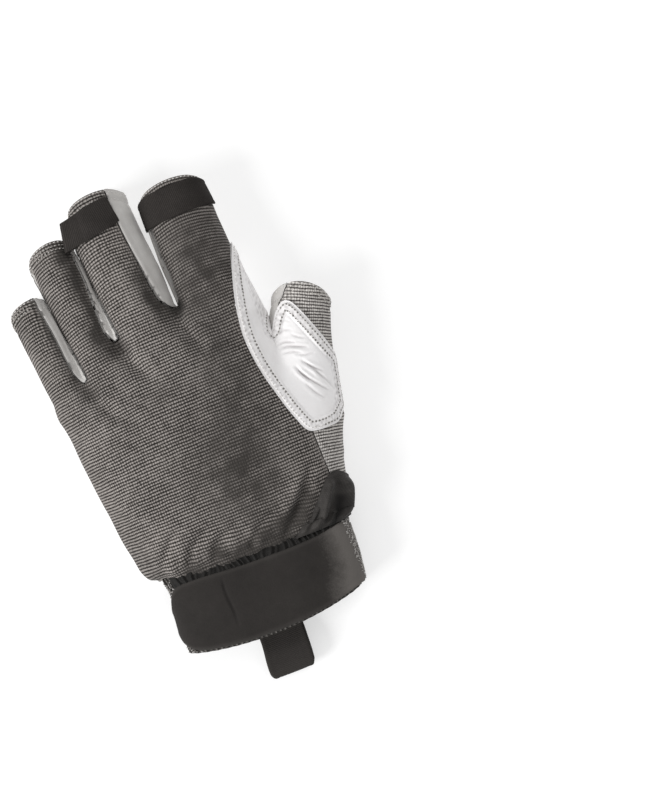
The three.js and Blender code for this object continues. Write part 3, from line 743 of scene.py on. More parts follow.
class Look:
    """A procedural material, built from nodes."""

    def __init__(self, name, roughness, sheen=0.0, specular=0.3):
        self.material = bpy.data.materials.new(name)
        self.material.use_nodes = True
        self.tree = self.material.node_tree
        self.shader = self.tree.nodes["Principled BSDF"]
        settings = {"Roughness": roughness, "Specular IOR Level": specular, "Sheen Weight": sheen,
                    "Sheen Roughness": 0.6}
        self.set(self.shader, settings)

    def node(self, kind, **settings):
        node = self.tree.nodes.new(kind)
        for key, value in settings.items():
            setattr(node, key, value)
        return node

    def feed(self, socket, value):
        if isinstance(value, bpy.types.NodeSocket):
            self.tree.links.new(value, socket)
        else:
            socket.default_value = value

    def set(self, node, settings):
        for key, value in settings.items():
            self.feed(node.inputs[key], value)

    def math(self, operation, a, b=0.0, c=0.0, clamp=False):
        node = self.node("ShaderNodeMath", operation=operation, use_clamp=clamp)
        self.set(node, {0: a, 1: b, 2: c})
        return node.outputs[0]

    def plus(self, a, b, clamp=False):
        return self.math("ADD", a, b, clamp=clamp)

    def times(self, a, b):
        return self.math("MULTIPLY", a, b)

    def scaled(self, value, times, plus, clamp=False):
        return self.math("MULTIPLY_ADD", value, times, plus, clamp)

    def weave(self):
        split = self.node("ShaderNodeSeparateXYZ")
        self.feed(split.inputs[0], self.node("ShaderNodeUVMap", uv_map="weave").outputs[0])
        return split.outputs[0], split.outputs[1]

    def place(self):
        return self.node("ShaderNodeTexCoord").outputs["Object"]

    def value(self, key):
        return self.node("ShaderNodeAttribute", attribute_name=key).outputs["Fac"]

    def noise(self, size_mm, detail=2.0, roughness=0.5):
        node = self.node("ShaderNodeTexNoise")
        self.set(node, {"Vector": self.place(), "Scale": 1000.0 / size_mm, "Detail": detail,
                        "Roughness": roughness})
        return node.outputs["Fac"]

    def swing(self, size_mm, reach, detail=2.0):
        """A noise on both sides of 0."""
        return self.scaled(self.noise(size_mm, detail), reach, -reach / 2)

    def cells(self, size_mm):
        node = self.node("ShaderNodeTexVoronoi", feature="F1")
        self.set(node, {"Vector": self.place(), "Scale": 1000.0 / size_mm})
        return node.outputs["Distance"]

    def ramp(self, fac, stops):
        node = self.node("ShaderNodeValToRGB")
        self.feed(node.inputs[0], fac)
        while len(node.color_ramp.elements) < len(stops):
            node.color_ramp.elements.new(0.5)
        for element, (place, colour) in zip(node.color_ramp.elements, stops):
            element.position = place
            element.color = (*colour, 1.0)
        return node.outputs[0]

    def mixed(self, fac, a, b):
        node = self.node("ShaderNodeMix", data_type="RGBA", blend_type="MIX")
        self.set(node, {0: fac, 6: a, 7: (*b, 1.0)})
        return node.outputs[2]

    def edged(self, colour, share, other):
        """Another colour mixed in along a piece's edges."""
        return self.mixed(self.times(self.value("edge"), share), colour, other)

    def ridges(self, value, pitch):
        """A wave from 0 to 1 that repeats at a pitch."""
        turned = self.scaled(value, 2 * math.pi / pitch, 0.0)
        return self.scaled(self.math("COSINE", turned), 0.5, 0.5)

    def bump(self, height, depth_mm, strength=1.0, below=None):
        node = self.node("ShaderNodeBump")
        self.set(node, {"Strength": strength, "Distance": depth_mm / 1000.0, "Height": height})
        if below is not None:
            self.feed(node.inputs["Normal"], below)
        return node.outputs[0]

    def finish(self, colour, normal=None, roughness=None):
        for key, value in {"Base Color": colour, "Normal": normal, "Roughness": roughness}.items():
            if value is not None:
                self.feed(self.shader.inputs[key], value)
        return self.material


def dimmed(colour, share):
    return tuple(part * share for part in colour)


def knit_look(name, dark, mid, light):
    """Rows of light thread with small dark holes between fine columns."""
    look = Look(name, roughness=0.92, sheen=0.05, specular=0.12)
    across, along = look.weave()
    along = look.plus(along, look.swing(9.0, 1.0))
    across = look.plus(across, look.swing(2.2, 1.3))
    rows = look.math("POWER", look.ridges(along, ROW_PITCH), 0.65)
    columns = look.math("POWER", look.ridges(across, COLUMN_PITCH), 0.8)
    cross = look.times(rows, columns)
    height = look.scaled(rows, 0.52, look.times(cross, 0.32))
    height = look.scaled(columns, 0.12, height)
    fuzz = look.noise(0.8, 3.0, 0.7)
    shade = look.plus(height, look.scaled(fuzz, 1.0, -0.505))
    shade = look.plus(shade, look.plus(look.swing(20.0, 0.34, 3.0), look.swing(5.0, 0.2, 3.0)))
    shade = look.scaled(shade, 1.35, -0.16, clamp=True)
    colour = look.edged(look.ramp(shade, [(0.0, dark), (0.45, mid), (1.0, light)]), 0.25, light)
    # Painted shade from the piece's shade attribute: darker in folds, between the fingers and away from the
    # key light.
    colour = look.mixed(look.value("painted_shade_and_grain"), colour, dimmed(mid, 0.42))
    return look.finish(colour, look.bump(look.plus(height, look.times(fuzz, 0.35)), 0.45, 0.8))


def leather_look(name, dark, mid, light):
    """Soft leather with a fine grain, smudges and creases, and painted shade in the creases."""
    look = Look(name, roughness=0.62, sheen=0.05)
    grain = look.cells(1.1)
    smudge = look.noise(6.0, 5.0, 0.65)
    tone = look.scaled(look.noise(28.0, 4.0, 0.6), 0.7, look.scaled(smudge, 0.4, -0.08))
    colour = look.ramp(tone, [(0.2, dark), (0.5, mid), (0.8, light)])
    pores = look.math("SMOOTH_MIN", grain, 0.35, 0.2)
    colour = look.mixed(look.scaled(pores, -0.35, 0.12, clamp=True), colour, dark)
    colour = look.edged(colour, 0.25, dimmed(dark, 0.8))
    # Painted shade in the creases, and the patch hem's pebbled grain, from the piece's shade attribute.
    colour = look.mixed(look.value("painted_shade_and_grain"), colour, (0.3, 0.275, 0.28))
    normal = look.bump(look.scaled(grain, -0.5, look.noise(0.5, 4.0, 0.6)), 0.12, 0.5)
    normal = look.bump(look.noise(3.4, 6.0, 0.7), 0.5, 0.35, normal)
    return look.finish(colour, normal, look.scaled(smudge, 0.25, 0.5))


def webbing_look(name, dark, mid, light):
    """Narrow woven tape. Its ribs run across it."""
    look = Look(name, roughness=0.88, specular=0.12)
    across, along = look.weave()
    ribs = look.ridges(look.plus(along, look.times(look.noise(2.0), 0.3)), 0.8)
    height = look.scaled(look.ridges(across, 0.55), 0.35, ribs)
    tone = look.scaled(height, 0.3, look.scaled(look.noise(0.7, 3.0, 0.7), 0.5, -0.06), clamp=True)
    tone = look.scaled(look.noise(12.0, 3.0), 0.5, look.plus(tone, -0.1))
    colour = look.ramp(tone, [(0.1, dark), (0.6, mid), (1.0, light)])
    return look.finish(colour, look.bump(height, 0.2, 0.6))


def elastic_look(name, dark, mid, light):
    """Ribbed elastic: slanting cords with short stitches between them."""
    look = Look(name, roughness=0.92, specular=0.12)
    across, along = look.weave()
    slanted = look.plus(look.scaled(along, RIB_SLANT, across), look.swing(9.0, 1.2))
    stitches = look.scaled(look.ridges(along, 1.25), 0.35, 0.65)
    height = look.times(look.ridges(slanted, 2.3), stitches)
    tone = look.plus(height, look.scaled(look.noise(0.9, 3.0, 0.7), 0.5, -0.3), clamp=True)
    colour = look.edged(look.ramp(tone, [(0.0, dark), (0.55, mid), (1.0, light)]), 0.12, light)
    return look.finish(colour, look.bump(height, 0.7, 0.8))


def strap_look(name, dark, mid, light):
    """Brushed cloth with a short nap, and a painted sheen that lightens its thumb end."""
    look = Look(name, roughness=0.92, sheen=0.03, specular=0.1)
    across, _ = look.weave()
    nap = look.noise(0.6, 4.0, 0.7)
    streaks = look.noise(3.0, 3.0, 0.6)
    tone = look.scaled(look.noise(22.0, 3.0), 0.3, look.scaled(streaks, 0.16, 0.16))
    tone = look.scaled(nap, 0.24, tone)
    # Painted sheen: the colour grows lighter towards the strap's thumb end.
    painted_sheen = look.math("POWER", look.scaled(across, -0.038, 1.08, clamp=True), 1.5)
    tone = look.plus(tone, look.times(painted_sheen, 0.9))
    colour = look.edged(look.ramp(tone, [(0.3, dark), (0.6, mid), (0.95, light)]), 0.12, light)
    # Painted shade in the strap's seam, from the piece's shade attribute.
    colour = look.mixed(look.value("painted_shade_and_grain"), colour, dimmed(dark, 0.4))
    return look.finish(colour, look.bump(look.scaled(streaks, 0.5, nap), 0.25, 0.5))


def stretch_look(name, dark, mid, light):
    """Smooth stretch cloth with fine threads."""
    look = Look(name, roughness=0.75, sheen=0.02, specular=0.22)
    across, along = look.weave()
    threads = look.times(look.ridges(across, 0.6), look.ridges(along, 0.7))
    tone = look.scaled(look.noise(4.0, 4.0, 0.6), 0.8, look.times(threads, 0.2))
    colour = look.ramp(tone, [(0.25, dark), (0.6, mid), (0.95, light)])
    # Painted shade in the fold's hollow, from the piece's shade attribute.
    colour = look.mixed(look.value("painted_shade_and_grain"), colour, dimmed(dark, 0.3))
    return look.finish(colour, look.bump(threads, 0.12, 0.5))


def thread_look(name, dark, light):
    look = Look(name, roughness=0.85, specular=0.15)
    colour = look.ramp(look.noise(1.2, 3.0, 0.6), [(0.3, dark), (0.7, light)])
    return look.finish(colour, look.bump(look.noise(0.25), 0.08, 0.6))


KNIT = knit_look("back_knit", (0.01, 0.009, 0.0085), (0.098, 0.088, 0.08), (0.37, 0.34, 0.32))
SIDE_KNIT = knit_look("side_knit", (0.03, 0.027, 0.025), (0.28, 0.262, 0.247), (0.72, 0.69, 0.66))
LEATHER = leather_look("palm_leather", (0.44, 0.42, 0.4), (0.58, 0.565, 0.545), (0.68, 0.665, 0.65))
PATCH = leather_look("patch_leather", (0.78, 0.76, 0.755), (0.87, 0.855, 0.855), (0.91, 0.895, 0.9))
TAB = webbing_look("tab_webbing", (0.013, 0.0115, 0.0105), (0.03, 0.0265, 0.0245), (0.062, 0.056, 0.052))
LOOP = webbing_look("loop_webbing", (0.024, 0.0215, 0.02), (0.038, 0.0345, 0.032), (0.06, 0.055, 0.051))
# One stretch cloth in two copies that differ only by the light they stand in for: the band's copy is dark
# with painted shade, the fold's copy lighter with painted light.
SHADED_STRETCH = stretch_look("stretch_cloth", (0.005, 0.0045, 0.004), (0.012, 0.011, 0.01), (0.03, 0.028, 0.026))
LIT_FOLD_CLOTH = stretch_look("lit_fold_cloth", (0.022, 0.02, 0.0185), (0.048, 0.044, 0.041), (0.1, 0.094, 0.088))
ELASTIC = elastic_look("rib_elastic", (0.012, 0.011, 0.010), (0.045, 0.041, 0.038), (0.2, 0.188, 0.176))
STRAP = strap_look("strap_fabric", (0.018, 0.0165, 0.0155), (0.031, 0.028, 0.026), (0.13, 0.12, 0.112))
PALE_THREAD = thread_look("pale_thread", (0.5, 0.48, 0.46), (0.78, 0.77, 0.75))
GREY_THREAD = thread_look("grey_thread", (0.3, 0.29, 0.27), (0.55, 0.53, 0.5))
# The needle holes' dark colour is painted shade in the holes.
HOLE = thread_look("needle_mark", (0.1, 0.095, 0.09), (0.3, 0.285, 0.27))
WORN_THREAD = thread_look("worn_thread", (0.16, 0.15, 0.14), (0.6, 0.58, 0.56))


# Stitches

class Beads:
    """Collects many small shapes into one mesh."""

    def __init__(self):
        self.vertices = []
        self.faces = []
        self.count = 0

    def add(self, vertices, faces):
        self.vertices.append(vertices)
        self.faces.append(faces + self.count)
        self.count += len(vertices)

    def make(self, name, material, slot):
        make_mesh(name, np.vstack(self.vertices), [np.concatenate(self.faces)], None, material)


def stitch(beads, start, end, normal, radius, sink=0.12, arch=0.25):
    """One stitch: a short arched thread whose ends go into the cloth."""
    way = end - start
    side = unit(np.cross(normal, way))
    rings, sides = 5, 6
    rows = []
    for i in range(rings):
        t = i / (rings - 1)
        lift = arch * math.sin(math.pi * t) - sink - (0.3 if i in (0, rings - 1) else 0.0)
        width = radius * (0.55 + 0.45 * math.sin(math.pi * t))
        middle = start + way * t + normal * lift
        for k in range(sides):
            angle = 2 * math.pi * k / sides
            rows.append(middle + (side * math.cos(angle) + normal * math.sin(angle)) * width)
    beads.add(np.array(rows), grid_faces(rings, sides, closed=True))


def dimple(beads, place, normal, radius, sides=6):
    """A needle hole: a small dish just proud of the leather, dark with painted shade in the hole."""
    side = unit(np.cross(normal, np.array([0.3, 0.5, 0.8])))
    other = np.cross(normal, side)
    rows = [place + normal * 0.16]
    for k in range(sides):
        angle = 2 * math.pi * k / sides
        rows.append(place + (side * math.cos(angle) + other * math.sin(angle)) * radius + normal * 0.02)
    beads.add(np.array(rows), np.array([(0, 1 + k, 1 + (k + 1) % sides) for k in range(sides)]))


def sew(path, threads, holes, pitch, length, radius, seed, wander=0.06):
    """A row of stitches along a path on a surface, with needle holes between them where holes is given."""
    rng = np.random.RandomState(seed)
    spots = evened(path, max(int(run_of(path)[-1] / pitch), 1) + 1)
    normals = normals_at(spots)
    for i in range(len(spots) - 1):
        way = spots[i + 1] - spots[i]
        if np.linalg.norm(way) < 0.3 * pitch:
            continue
        shake = rng.normal(size=3) * wander
        end = spots[i] + way * (length / pitch) - shake * 0.5
        normal = unit(normals[i] + normals[i + 1])
        stitch(threads, spots[i] + shake, end, normal, radius * rng.uniform(0.85, 1.15))
        if holes is not None:
            middle = end + (spots[i + 1] - end) * 0.5
            dimple(holes, middle, normal, radius * rng.uniform(1.35, 1.8))


# The hand's sheets

PITCH = 0.9


def hand_surface():
    low = np.array([-61.0, WRIST - 5.0, -2.4])
    high = np.array([86.0, 125.0, 37.0])
    counts = np.ceil((high - low) / PITCH).astype(int)
    x, y, z = (low[axis] + np.arange(counts[axis]) * PITCH for axis in range(3))
    plan_x, plan_y = np.meshgrid(x, y, indexing="ij")
    field = hand_distance(plan_x[..., None], plan_y[..., None], z)
    points, quads = surface_net(field, low, PITCH)
    return onto_surface(points), np.concatenate([quads[:, [0, 1, 2]], quads[:, [0, 2, 3]]])


SURFACE, TRIANGLES = hand_surface()


def split(points, faces):
    """Every triangle becomes four, and the new points lie on the hand's surface."""
    edges = np.concatenate([faces[:, [0, 1]], faces[:, [1, 2]], faces[:, [2, 0]]])
    keys = edge_keys(edges[:, 0], edges[:, 1], len(points))
    _, first, back = np.unique(keys, return_index=True, return_inverse=True)
    middles = onto_surface((points[edges[first, 0]] + points[edges[first, 1]]) / 2, 1)
    ab, bc, ca = (back.reshape(3, -1) + len(points))
    a, b, c = faces.T
    fine = [(a, ab, ca), (ab, b, bc), (ca, bc, c), (ab, bc, ca)]
    return np.vstack([points, middles]), np.concatenate([np.stack(rows, axis=1) for rows in fine])


def groove(points, path, width, depth):
    """A crease in plan that fades at both ends, with a soft swelling beside it."""
    gap, share = path_distance(points, path)
    fade = np.sin(np.pi * np.clip(share, 0, 1)) ** 0.5
    return fade * (-depth * bell(gap, width) + 0.45 * depth * bell(gap - 2.2 * width, 1.3 * width))


def weave_map(points, owner):
    """Where each point lies across and along the knit, in millimetres."""
    x, y, z = points.T
    spots = np.array([-60.0, -40.0, -25.0, -2.0, 30.0, 60.0])
    slopes = np.tan(np.radians([-7.5, -6.6, -5.1, -1.2, -1.0, 0.0]))
    fine = np.linspace(-70, 90, 321)
    slope = np.interp(fine, spots, slopes)
    height = np.concatenate([[0], np.cumsum((slope[1:] + slope[:-1]) / 2 * np.diff(fine))])
    height -= np.interp(0.0, fine, height)
    share = smooth(-40, 45, y)
    along = y + share * np.interp(x, fine, height)
    across = x - share * (y - 10) * np.interp(x, spots, slopes)
    drop = np.maximum(SEAM + 20 - z, 0)
    across = across + np.where(x > 0, drop, -drop) * smooth(4, 20, drop) * smooth(30, 42, np.abs(x))
    for i, f in enumerate(FINGERS[:4]):
        u, s = finger_place(f, x, y)
        half = finger_size(f, s)[0]
        bow = 2.4 * np.clip(u / half, -1.2, 1.2) ** 2 * smooth(0.2, 0.7, s / f.length)
        along = np.where(owner == i, along + bow, along)
    return np.stack([across, along], axis=1)


def thumb_weave(points):
    u, s = finger_place(THUMB, points[:, 0], points[:, 1])
    drop = np.maximum(SEAM + 12 - points[:, 2], 0)
    return np.stack([u + drop, s], axis=1)


# Creases: a path in plan, its width and its depth
PALM_CREASES = [
    ([(38, 18), (24, 10), (10, 2), (-4, -8), (-12, -18)], 1.3, 0.9),
    ([(40, 14), (28, 2), (18, -10), (12, -24)], 1.2, 0.8),
    ([(43, 12), (34, -2), (27, -18), (24, -32)], 1.2, 0.7),
    ([(45, 10), (40, -6), (36, -20)], 1.1, 0.6),
    ([(36, 22), (18, 20), (2, 17)], 1.1, 0.5),
    ([(14, 54), (2, 44), (-14, 38), (-34, 34)], 1.6, 0.8),
    ([(-14, 50), (-22, 40), (-38, 30)], 1.3, 0.5),
    ([(-52, 8), (-40, 4), (-30, 6)], 1.1, 0.5),
    ([(-50, -8), (-36, -10), (-26, -6)], 1.1, 0.4),
]


def finger_creases():
    """Creases across the fingers' palm sides, as plan paths."""
    paths = []
    shares_of = ((0.42, 0.6, 0.72), (0.5, 0.66, 0.8), (0.46, 0.58, 0.7, 0.8), (0.42, 0.56))
    for f, shares in zip(FINGERS, shares_of):
        for k, share in enumerate(shares):
            bow = 0.015 * (-1) ** k
            spots = ((-0.85, share + bow), (-0.3, share - bow), (0.3, share - bow), (0.85, share + bow))
            paths.append(curve_through([on_finger(f, *spot) for spot in spots], 3))
    return paths


FINGER_CREASES = finger_creases()


def rim_relief(to_rim):
    """The turned hem at an open end: a roll, then the sewn line."""
    return 0.4 * bell(to_rim - 2.2, 2.2) - 0.4 * bell(to_rim - 5.2, 0.8) - 0.12 * bell(to_rim - 1.2, 0.6)


def gathers(points):
    """The knit is drawn together where it is sewn to the cuff."""
    x, y, _ = points.T
    up = y - wrist_line(points)
    waves = np.sin(x * 0.62 + 0.9 * np.sin(x * 0.17)) + 0.5 * np.sin(x * 1.13 + 2)
    roll = 1.2 * bell(up - 5.5, 4.0) - 0.9 * bell(up, 1.6)
    return roll + 0.7 * waves * np.exp(-np.maximum(up, 0) / 7.0) * smooth(1.5, 5.0, up)


# Painted shade on the knit, in its deep folds, between the fingers and on the index side away from the key
# light: x, y, reach across, reach along and strength
PAINTED_SHADE_SPOTS = [
    (-20.0, -51.0, 3.8, 3.8, 0.95), (-8.4, -49.6, 5.0, 4.2, 0.95), (2.0, -52.0, 5.4, 3.2, 0.95),
    (12.0, -51.5, 7.6, 4.2, 0.95), (24.0, -49.0, 9.0, 5.2, 0.85), (33.0, -46.5, 6.4, 5.4, 0.75),
    (39.0, -41.5, 4.6, 5.4, 0.7), (6.2, 71.0, 3.4, 9.0, 1.2), (9.6, 61.0, 4.4, 5.0, 1.1),
    (15.0, 56.0, 7.4, 4.5, 0.7), (-22.6, 95.0, 3.4, 6.0, 1.0), (-20.6, 84.0, 3.0, 11.0, 1.0),
    (-19.6, 64.0, 2.8, 12.0, 1.0), (-16.0, 51.0, 5.0, 5.0, 0.9), (-38.6, 66.0, 2.4, 14.0, 0.8),
    (-36.0, 44.0, 3.0, 8.0, 0.8), (-32.0, 35.0, 4.0, 4.0, 0.6), (25.0, 22.0, 12.0, 34.0, 0.55),
    (14.0, -20.0, 18.0, 24.0, 0.88), (33.0, 74.0, 15.0, 24.0, 0.9), (-3.0, 23.0, 10.0, 4.0, 0.3),
    (-21.6, 57.0, 3.6, 4.6, 0.8),
]


# Painted shade for the knit: the spots above and a strip along its gathered edge at the wrist, on the top of
# the hand only.
def painted_knit_shade(points):
    total = np.zeros(len(points))
    x, y, z = points.T
    for px, py, across, along, strength in PAINTED_SHADE_SPOTS:
        total += strength * np.exp(-((x - px) / across) ** 2 - ((y - py) / along) ** 2)
    up = y - wrist_line(points)
    # Painted shade along the knit's lower edge at the wrist.
    total += 0.95 * bell(np.maximum(up, 0), 3.0) * smooth(-30, -20, x)
    return np.clip(total * (0.85 + 0.3 * undulation(points, 9, 61)), 0, 0.92) * smooth(SEAM, SEAM + 3, z)


BACK_CREASES = [
    ([(-34, -49), (-28, -40), (-20, -33)], 1.8, 1.3),
    ([(-24, -53), (-17, -43), (-6, -37)], 1.6, 1.4),
    ([(-12, -54), (-6, -45), (6, -40)], 1.6, 1.2),
    ([(6, -53), (12, -46), (22, -41)], 1.5, 1.1),
    ([(20, -54), (30, -46), (42, -35)], 2.0, 1.9),
    ([(28, -46), (37, -37), (46, -27)], 1.5, 1.0),
    ([(-33, 40), (-31, 31), (-26, 22), (-16, 16)], 2.6, 1.5),
    ([(-14.5, 53), (-12, 42), (-5, 31)], 2.6, 1.6),
    ([(14.4, 57), (15, 46), (20, 34)], 2.8, 1.6),
    ([(8.6, 72), (8.0, 62), (10.4, 54)], 1.8, 0.9),
    ([(26, -49), (35, -41), (42, -31)], 1.4, 0.9),
]


def back_relief(points, normals, to_rim):
    up = np.clip(normals[:, 2], 0, 1)
    relief = 0.6 * undulation(points, 46, 3) * up + 0.26 * undulation(points, 17, 4)
    relief += gathers(points)
    for path, width, depth in BACK_CREASES:
        relief += groove(points, path, width, depth) * up
    seam = inside_by(BACK_OUTLINE, points[:, 0], points[:, 1])
    relief -= 0.25 * bell(seam - 0.3, 0.9) * smooth(SEAM + 2, SEAM + 6, points[:, 2])
    return relief + rim_relief(to_rim)


def palm_relief(points, normals, to_rim):
    x, y, z = points.T
    relief = 0.3 * undulation(points, 30, 11) + 0.12 * undulation(points, 9, 12)
    down = np.clip(-normals[:, 2], 0, 1) ** 0.5
    relief *= 0.35 + 0.65 * smooth(0.0, 2.5, z)
    for path, width, depth in PALM_CREASES:
        relief += np.minimum(groove(points, path, width, depth), 0.1) * down
    for path in FINGER_CREASES:
        relief += np.minimum(groove(points, path, 1.0, 0.8), 0.35) * down
    seam = -inside_by(BACK_OUTLINE, x, y)
    piping = smooth(SEAM - 1, SEAM + 2, z) * bell(seam - 0.9, 1.0)
    relief += 0.75 * piping
    slot = bell(x - 13.0, 5.0) * between(55, 62, 72, 82, y)
    relief += 0.8 * slot * (1 - np.abs(normals[:, 2]))
    return relief + rim_relief(to_rim) * 0.8


# Wrinkles in the patch: a path in plan, its width and its depth
PATCH_WRINKLES = [
    ([(52.2, 28.0), (55.0, 29.2), (58.0, 28.2)], 0.55, 0.6),
    ([(50.0, 24.0), (53.5, 24.2), (57.4, 22.6)], 0.55, 0.85),
    ([(50.2, 22.0), (54.0, 22.0), (58.2, 20.2), (61.6, 18.8)], 0.6, 1.0),
    ([(50.4, 19.6), (54.6, 19.2), (58.6, 17.4)], 0.5, 0.75),
    ([(55.4, 17.6), (59.6, 16.0), (63.6, 15.6)], 0.5, 0.6),
    ([(57.0, 26.4), (60.6, 23.6), (63.8, 22.6)], 0.5, 0.45),
    ([(56.8, 14.6), (59.6, 10.6), (63.4, 6.6)], 0.6, 0.95),
    ([(58.4, 12.0), (60.8, 7.6), (62.6, 3.0)], 0.5, 0.6),
    ([(53.4, 13.4), (54.8, 9.0), (57.0, 4.6)], 0.6, 0.95),
    ([(53.6, 11.0), (57.4, 5.0), (62.6, -2.0)], 0.6, 0.85),
    ([(54.6, 4.6), (57.0, -0.6), (60.0, -4.6)], 0.55, 0.5),
    ([(60.0, 9.6), (63.0, 3.4), (64.8, -2.4)], 0.5, 0.45),
    ([(53.8, 32.0), (56.6, 33.0), (59.2, 31.6)], 0.5, 0.35),
    ([(44.0, 52.0), (45.6, 40.0), (46.4, 30.0)], 1.4, 0.35),
]


def patch_relief(points, normals, border):
    up = np.clip(normals[:, 2] * 1.6, 0, 1)
    relief = 0.25 * undulation(points, 26, 21)
    hem = between(0.6, 1.4, 4.6, 5.4, border)
    relief += 0.35 * hem - 0.3 * bell(border - 1.0, 0.4) - 0.35 * bell(border - 5.0, 0.5)
    relief += 0.16 * undulation(points, 1.9, 22) * bell(border - 3.0, 1.8)
    inner = smooth(4.5, 7, border)
    for path, width, depth in PATCH_WRINKLES:
        relief += 0.75 * groove(points, curve_through(path, 4), width, depth) * inner * up
    return relief


# Painted shade in the patch's wrinkles, and a pebbled grain that darkens its hem band.
def patch_crease_shade_and_grain(points):
    total = np.zeros(len(points))
    for path, width, depth in PATCH_WRINKLES[:-1]:
        gap, share = path_distance(points, curve_through(path, 4))
        total += depth * bell(gap, width * 0.6) * np.sin(np.pi * share) ** 0.6
    by = inside_by(PATCH_BACK, points[:, 0], points[:, 1])
    border = np.where(points[:, 2] > SEAM, by, 0.0)
    hem = between(1.2, 2.0, 4.0, 4.8, border)
    pebbles = np.clip(0.14 + 0.3 * undulation(points, 1.5, 23), 0, 0.5)
    return np.clip(total * 0.6, 0, 0.55) * smooth(SEAM, SEAM + 4, points[:, 2]) + hem * pebbles


def no_shade(points):
    return np.zeros(len(points))


def thumb_relief(points, normals, to_rim):
    return 0.3 * undulation(points, 24, 31) + gathers(points) + rim_relief(to_rim)


def make_sheet(name, stands_for, region, relief_of, uv_of, material, thickness=WALL, lift=0.0,
               hemmed=False, finer=0, shade_of=no_shade):
    """One piece of the hand: cut out, raised by its relief, and given its thickness.

    relief_of gets the distance to the whole edge where the sheet is hemmed, or else to the open ends."""
    points, faces = cut_out(SURFACE, TRIANGLES, region, PITCH)
    for _ in range(finer):
        points, faces = split(points, faces)
    normals = normals_at(points)
    spots = points[np.unique(border_of(faces))]
    to_rim = owner_of(points)[1]
    relief = relief_of(points, normals, edge_distance(points, spots) if hemmed else to_rim) + lift
    low = points[:, 2] + normals[:, 2] * relief < LOWEST
    relief = np.where(low, (LOWEST - points[:, 2]) / np.minimum(normals[:, 2], -0.2), relief)
    near = edge_distance(points, spots, 6.0)
    vertices, polygons, source = thickened(points, normals, faces, thickness, relief)
    # Besides the edge, the piece carries the painted shade that shade_of gives as an attribute.
    make_mesh(name, vertices, polygons, uv_of(points)[source], material, (stands_for,),
              {"edge": bell(near, 1.0)[source], "painted_shade_and_grain": shade_of(points)[source]})
    return SimpleNamespace(points=points + normals * relief[:, None], faces=faces, near=near, rim=to_rim)


def back_uv(points):
    return weave_map(points, owner_of(points)[0])


def plain_uv(points):
    return points[:, :2]


back = make_sheet("knit_back", "back_panel", back_region, back_relief, back_uv, KNIT,
                  shade_of=painted_knit_shade)
palm = make_sheet("leather_palm", "palm_panel", palm_region, palm_relief, plain_uv, LEATHER)
side = make_sheet("thumb_knit", "thumb_side_panel", thumb_region, thumb_relief, thumb_weave, SIDE_KNIT)
patch = make_sheet("leather_patch", "thumb_patch", patch_region, patch_relief, plain_uv, PATCH,
                   PATCH_THICKNESS, PATCH_THICKNESS, hemmed=True, finer=1,
                   shade_of=patch_crease_shade_and_grain)


# The fold of stretch cloth at the thumb's side of the wrist

# Ridges: a path in plan, its width and its height
FOLD_RIDGES = [
    ([(34, -56), (38.6, -52), (42.4, -46.5), (46, -41), (48.6, -37)], 1.9, 3.6),
    ([(45, -57), (49.4, -52.5), (52.4, -46.5), (53.4, -41.5), (51.8, -37.6)], 2.0, 3.4),
    ([(40, -57), (43.2, -54), (45.4, -50)], 1.1, 2.0),
    ([(29, -55), (35, -50.5), (40, -46)], 1.5, 1.8),
]
FOLD_HOLLOW = [(42.0, -57.0), (46.0, -52.4), (48.4, -48.0), (50.2, -43.4)]


def hollow_shade(points):
    gap, share = path_distance(points, curve_through(FOLD_HOLLOW, 4))
    return 0.95 * bell(gap, 2.3) * (1 - smooth(0.8, 1.0, share))


def fold_relief(points, normals, border):
    relief = 0.3 * undulation(points, 4, 41)
    for path, width, height in FOLD_RIDGES:
        gap, share = path_distance(points, curve_through(path, 4))
        fade = between(-0.1, 0.15, 0.9, 1.02, share)
        relief = np.maximum(relief, height * bell(gap, width) * fade)
    return relief * smooth(0, 1.8, border) * smooth(-0.2, 0.4, normals[:, 2])


# The fold has the lighter copy of the stretch cloth, with painted light.
make_sheet("puckered_fold", "wrist_fold", fold_region, fold_relief, plain_uv, LIT_FOLD_CLOTH,
           1.3, 1.5, hemmed=True, finer=1, shade_of=hollow_shade)


# Sheets that are laid out on a grid of rows and columns

def grid_faces(rows, columns, closed=False):
    faces = []
    for i in range(rows - 1):
        for j in range(columns if closed else columns - 1):
            n = (j + 1) % columns
            faces.append((i * columns + j, i * columns + n, (i + 1) * columns + n, (i + 1) * columns + j))
    return np.array(faces)


def grid_normals(grid, closed=False):
    if closed:
        right = np.roll(grid, -1, axis=1) - np.roll(grid, 1, axis=1)
    else:
        right = np.gradient(grid, axis=1)
    up = np.gradient(grid, axis=0)
    return unit(np.cross(right, up))


def make_grid_sheet(name, grid, uv, thickness, relief, material, closed=False, stands_for=(), shade=None):
    """A sheet from rows of points, raised by relief. It returns its outer points and their normals."""
    faces = grid_faces(*grid.shape[:2], closed)
    points = grid.reshape(-1, 3)
    normals = grid_normals(grid, closed).reshape(-1, 3)
    relief = relief.reshape(-1)
    vertices, polygons, source = thickened(points, normals, faces, thickness, relief)
    near = edge_distance(points, points[np.unique(border_of(faces))], 6.0)
    shade = np.zeros(len(points)) if shade is None else shade.reshape(-1)
    # shade is painted shade, carried as the same attribute as on the hand's sheets.
    make_mesh(name, vertices, polygons, uv.reshape(-1, 2)[source], material, stands_for,
              {"edge": bell(near, 0.9)[source], "painted_shade_and_grain": shade[source]})
    return points + normals * relief[:, None], normals


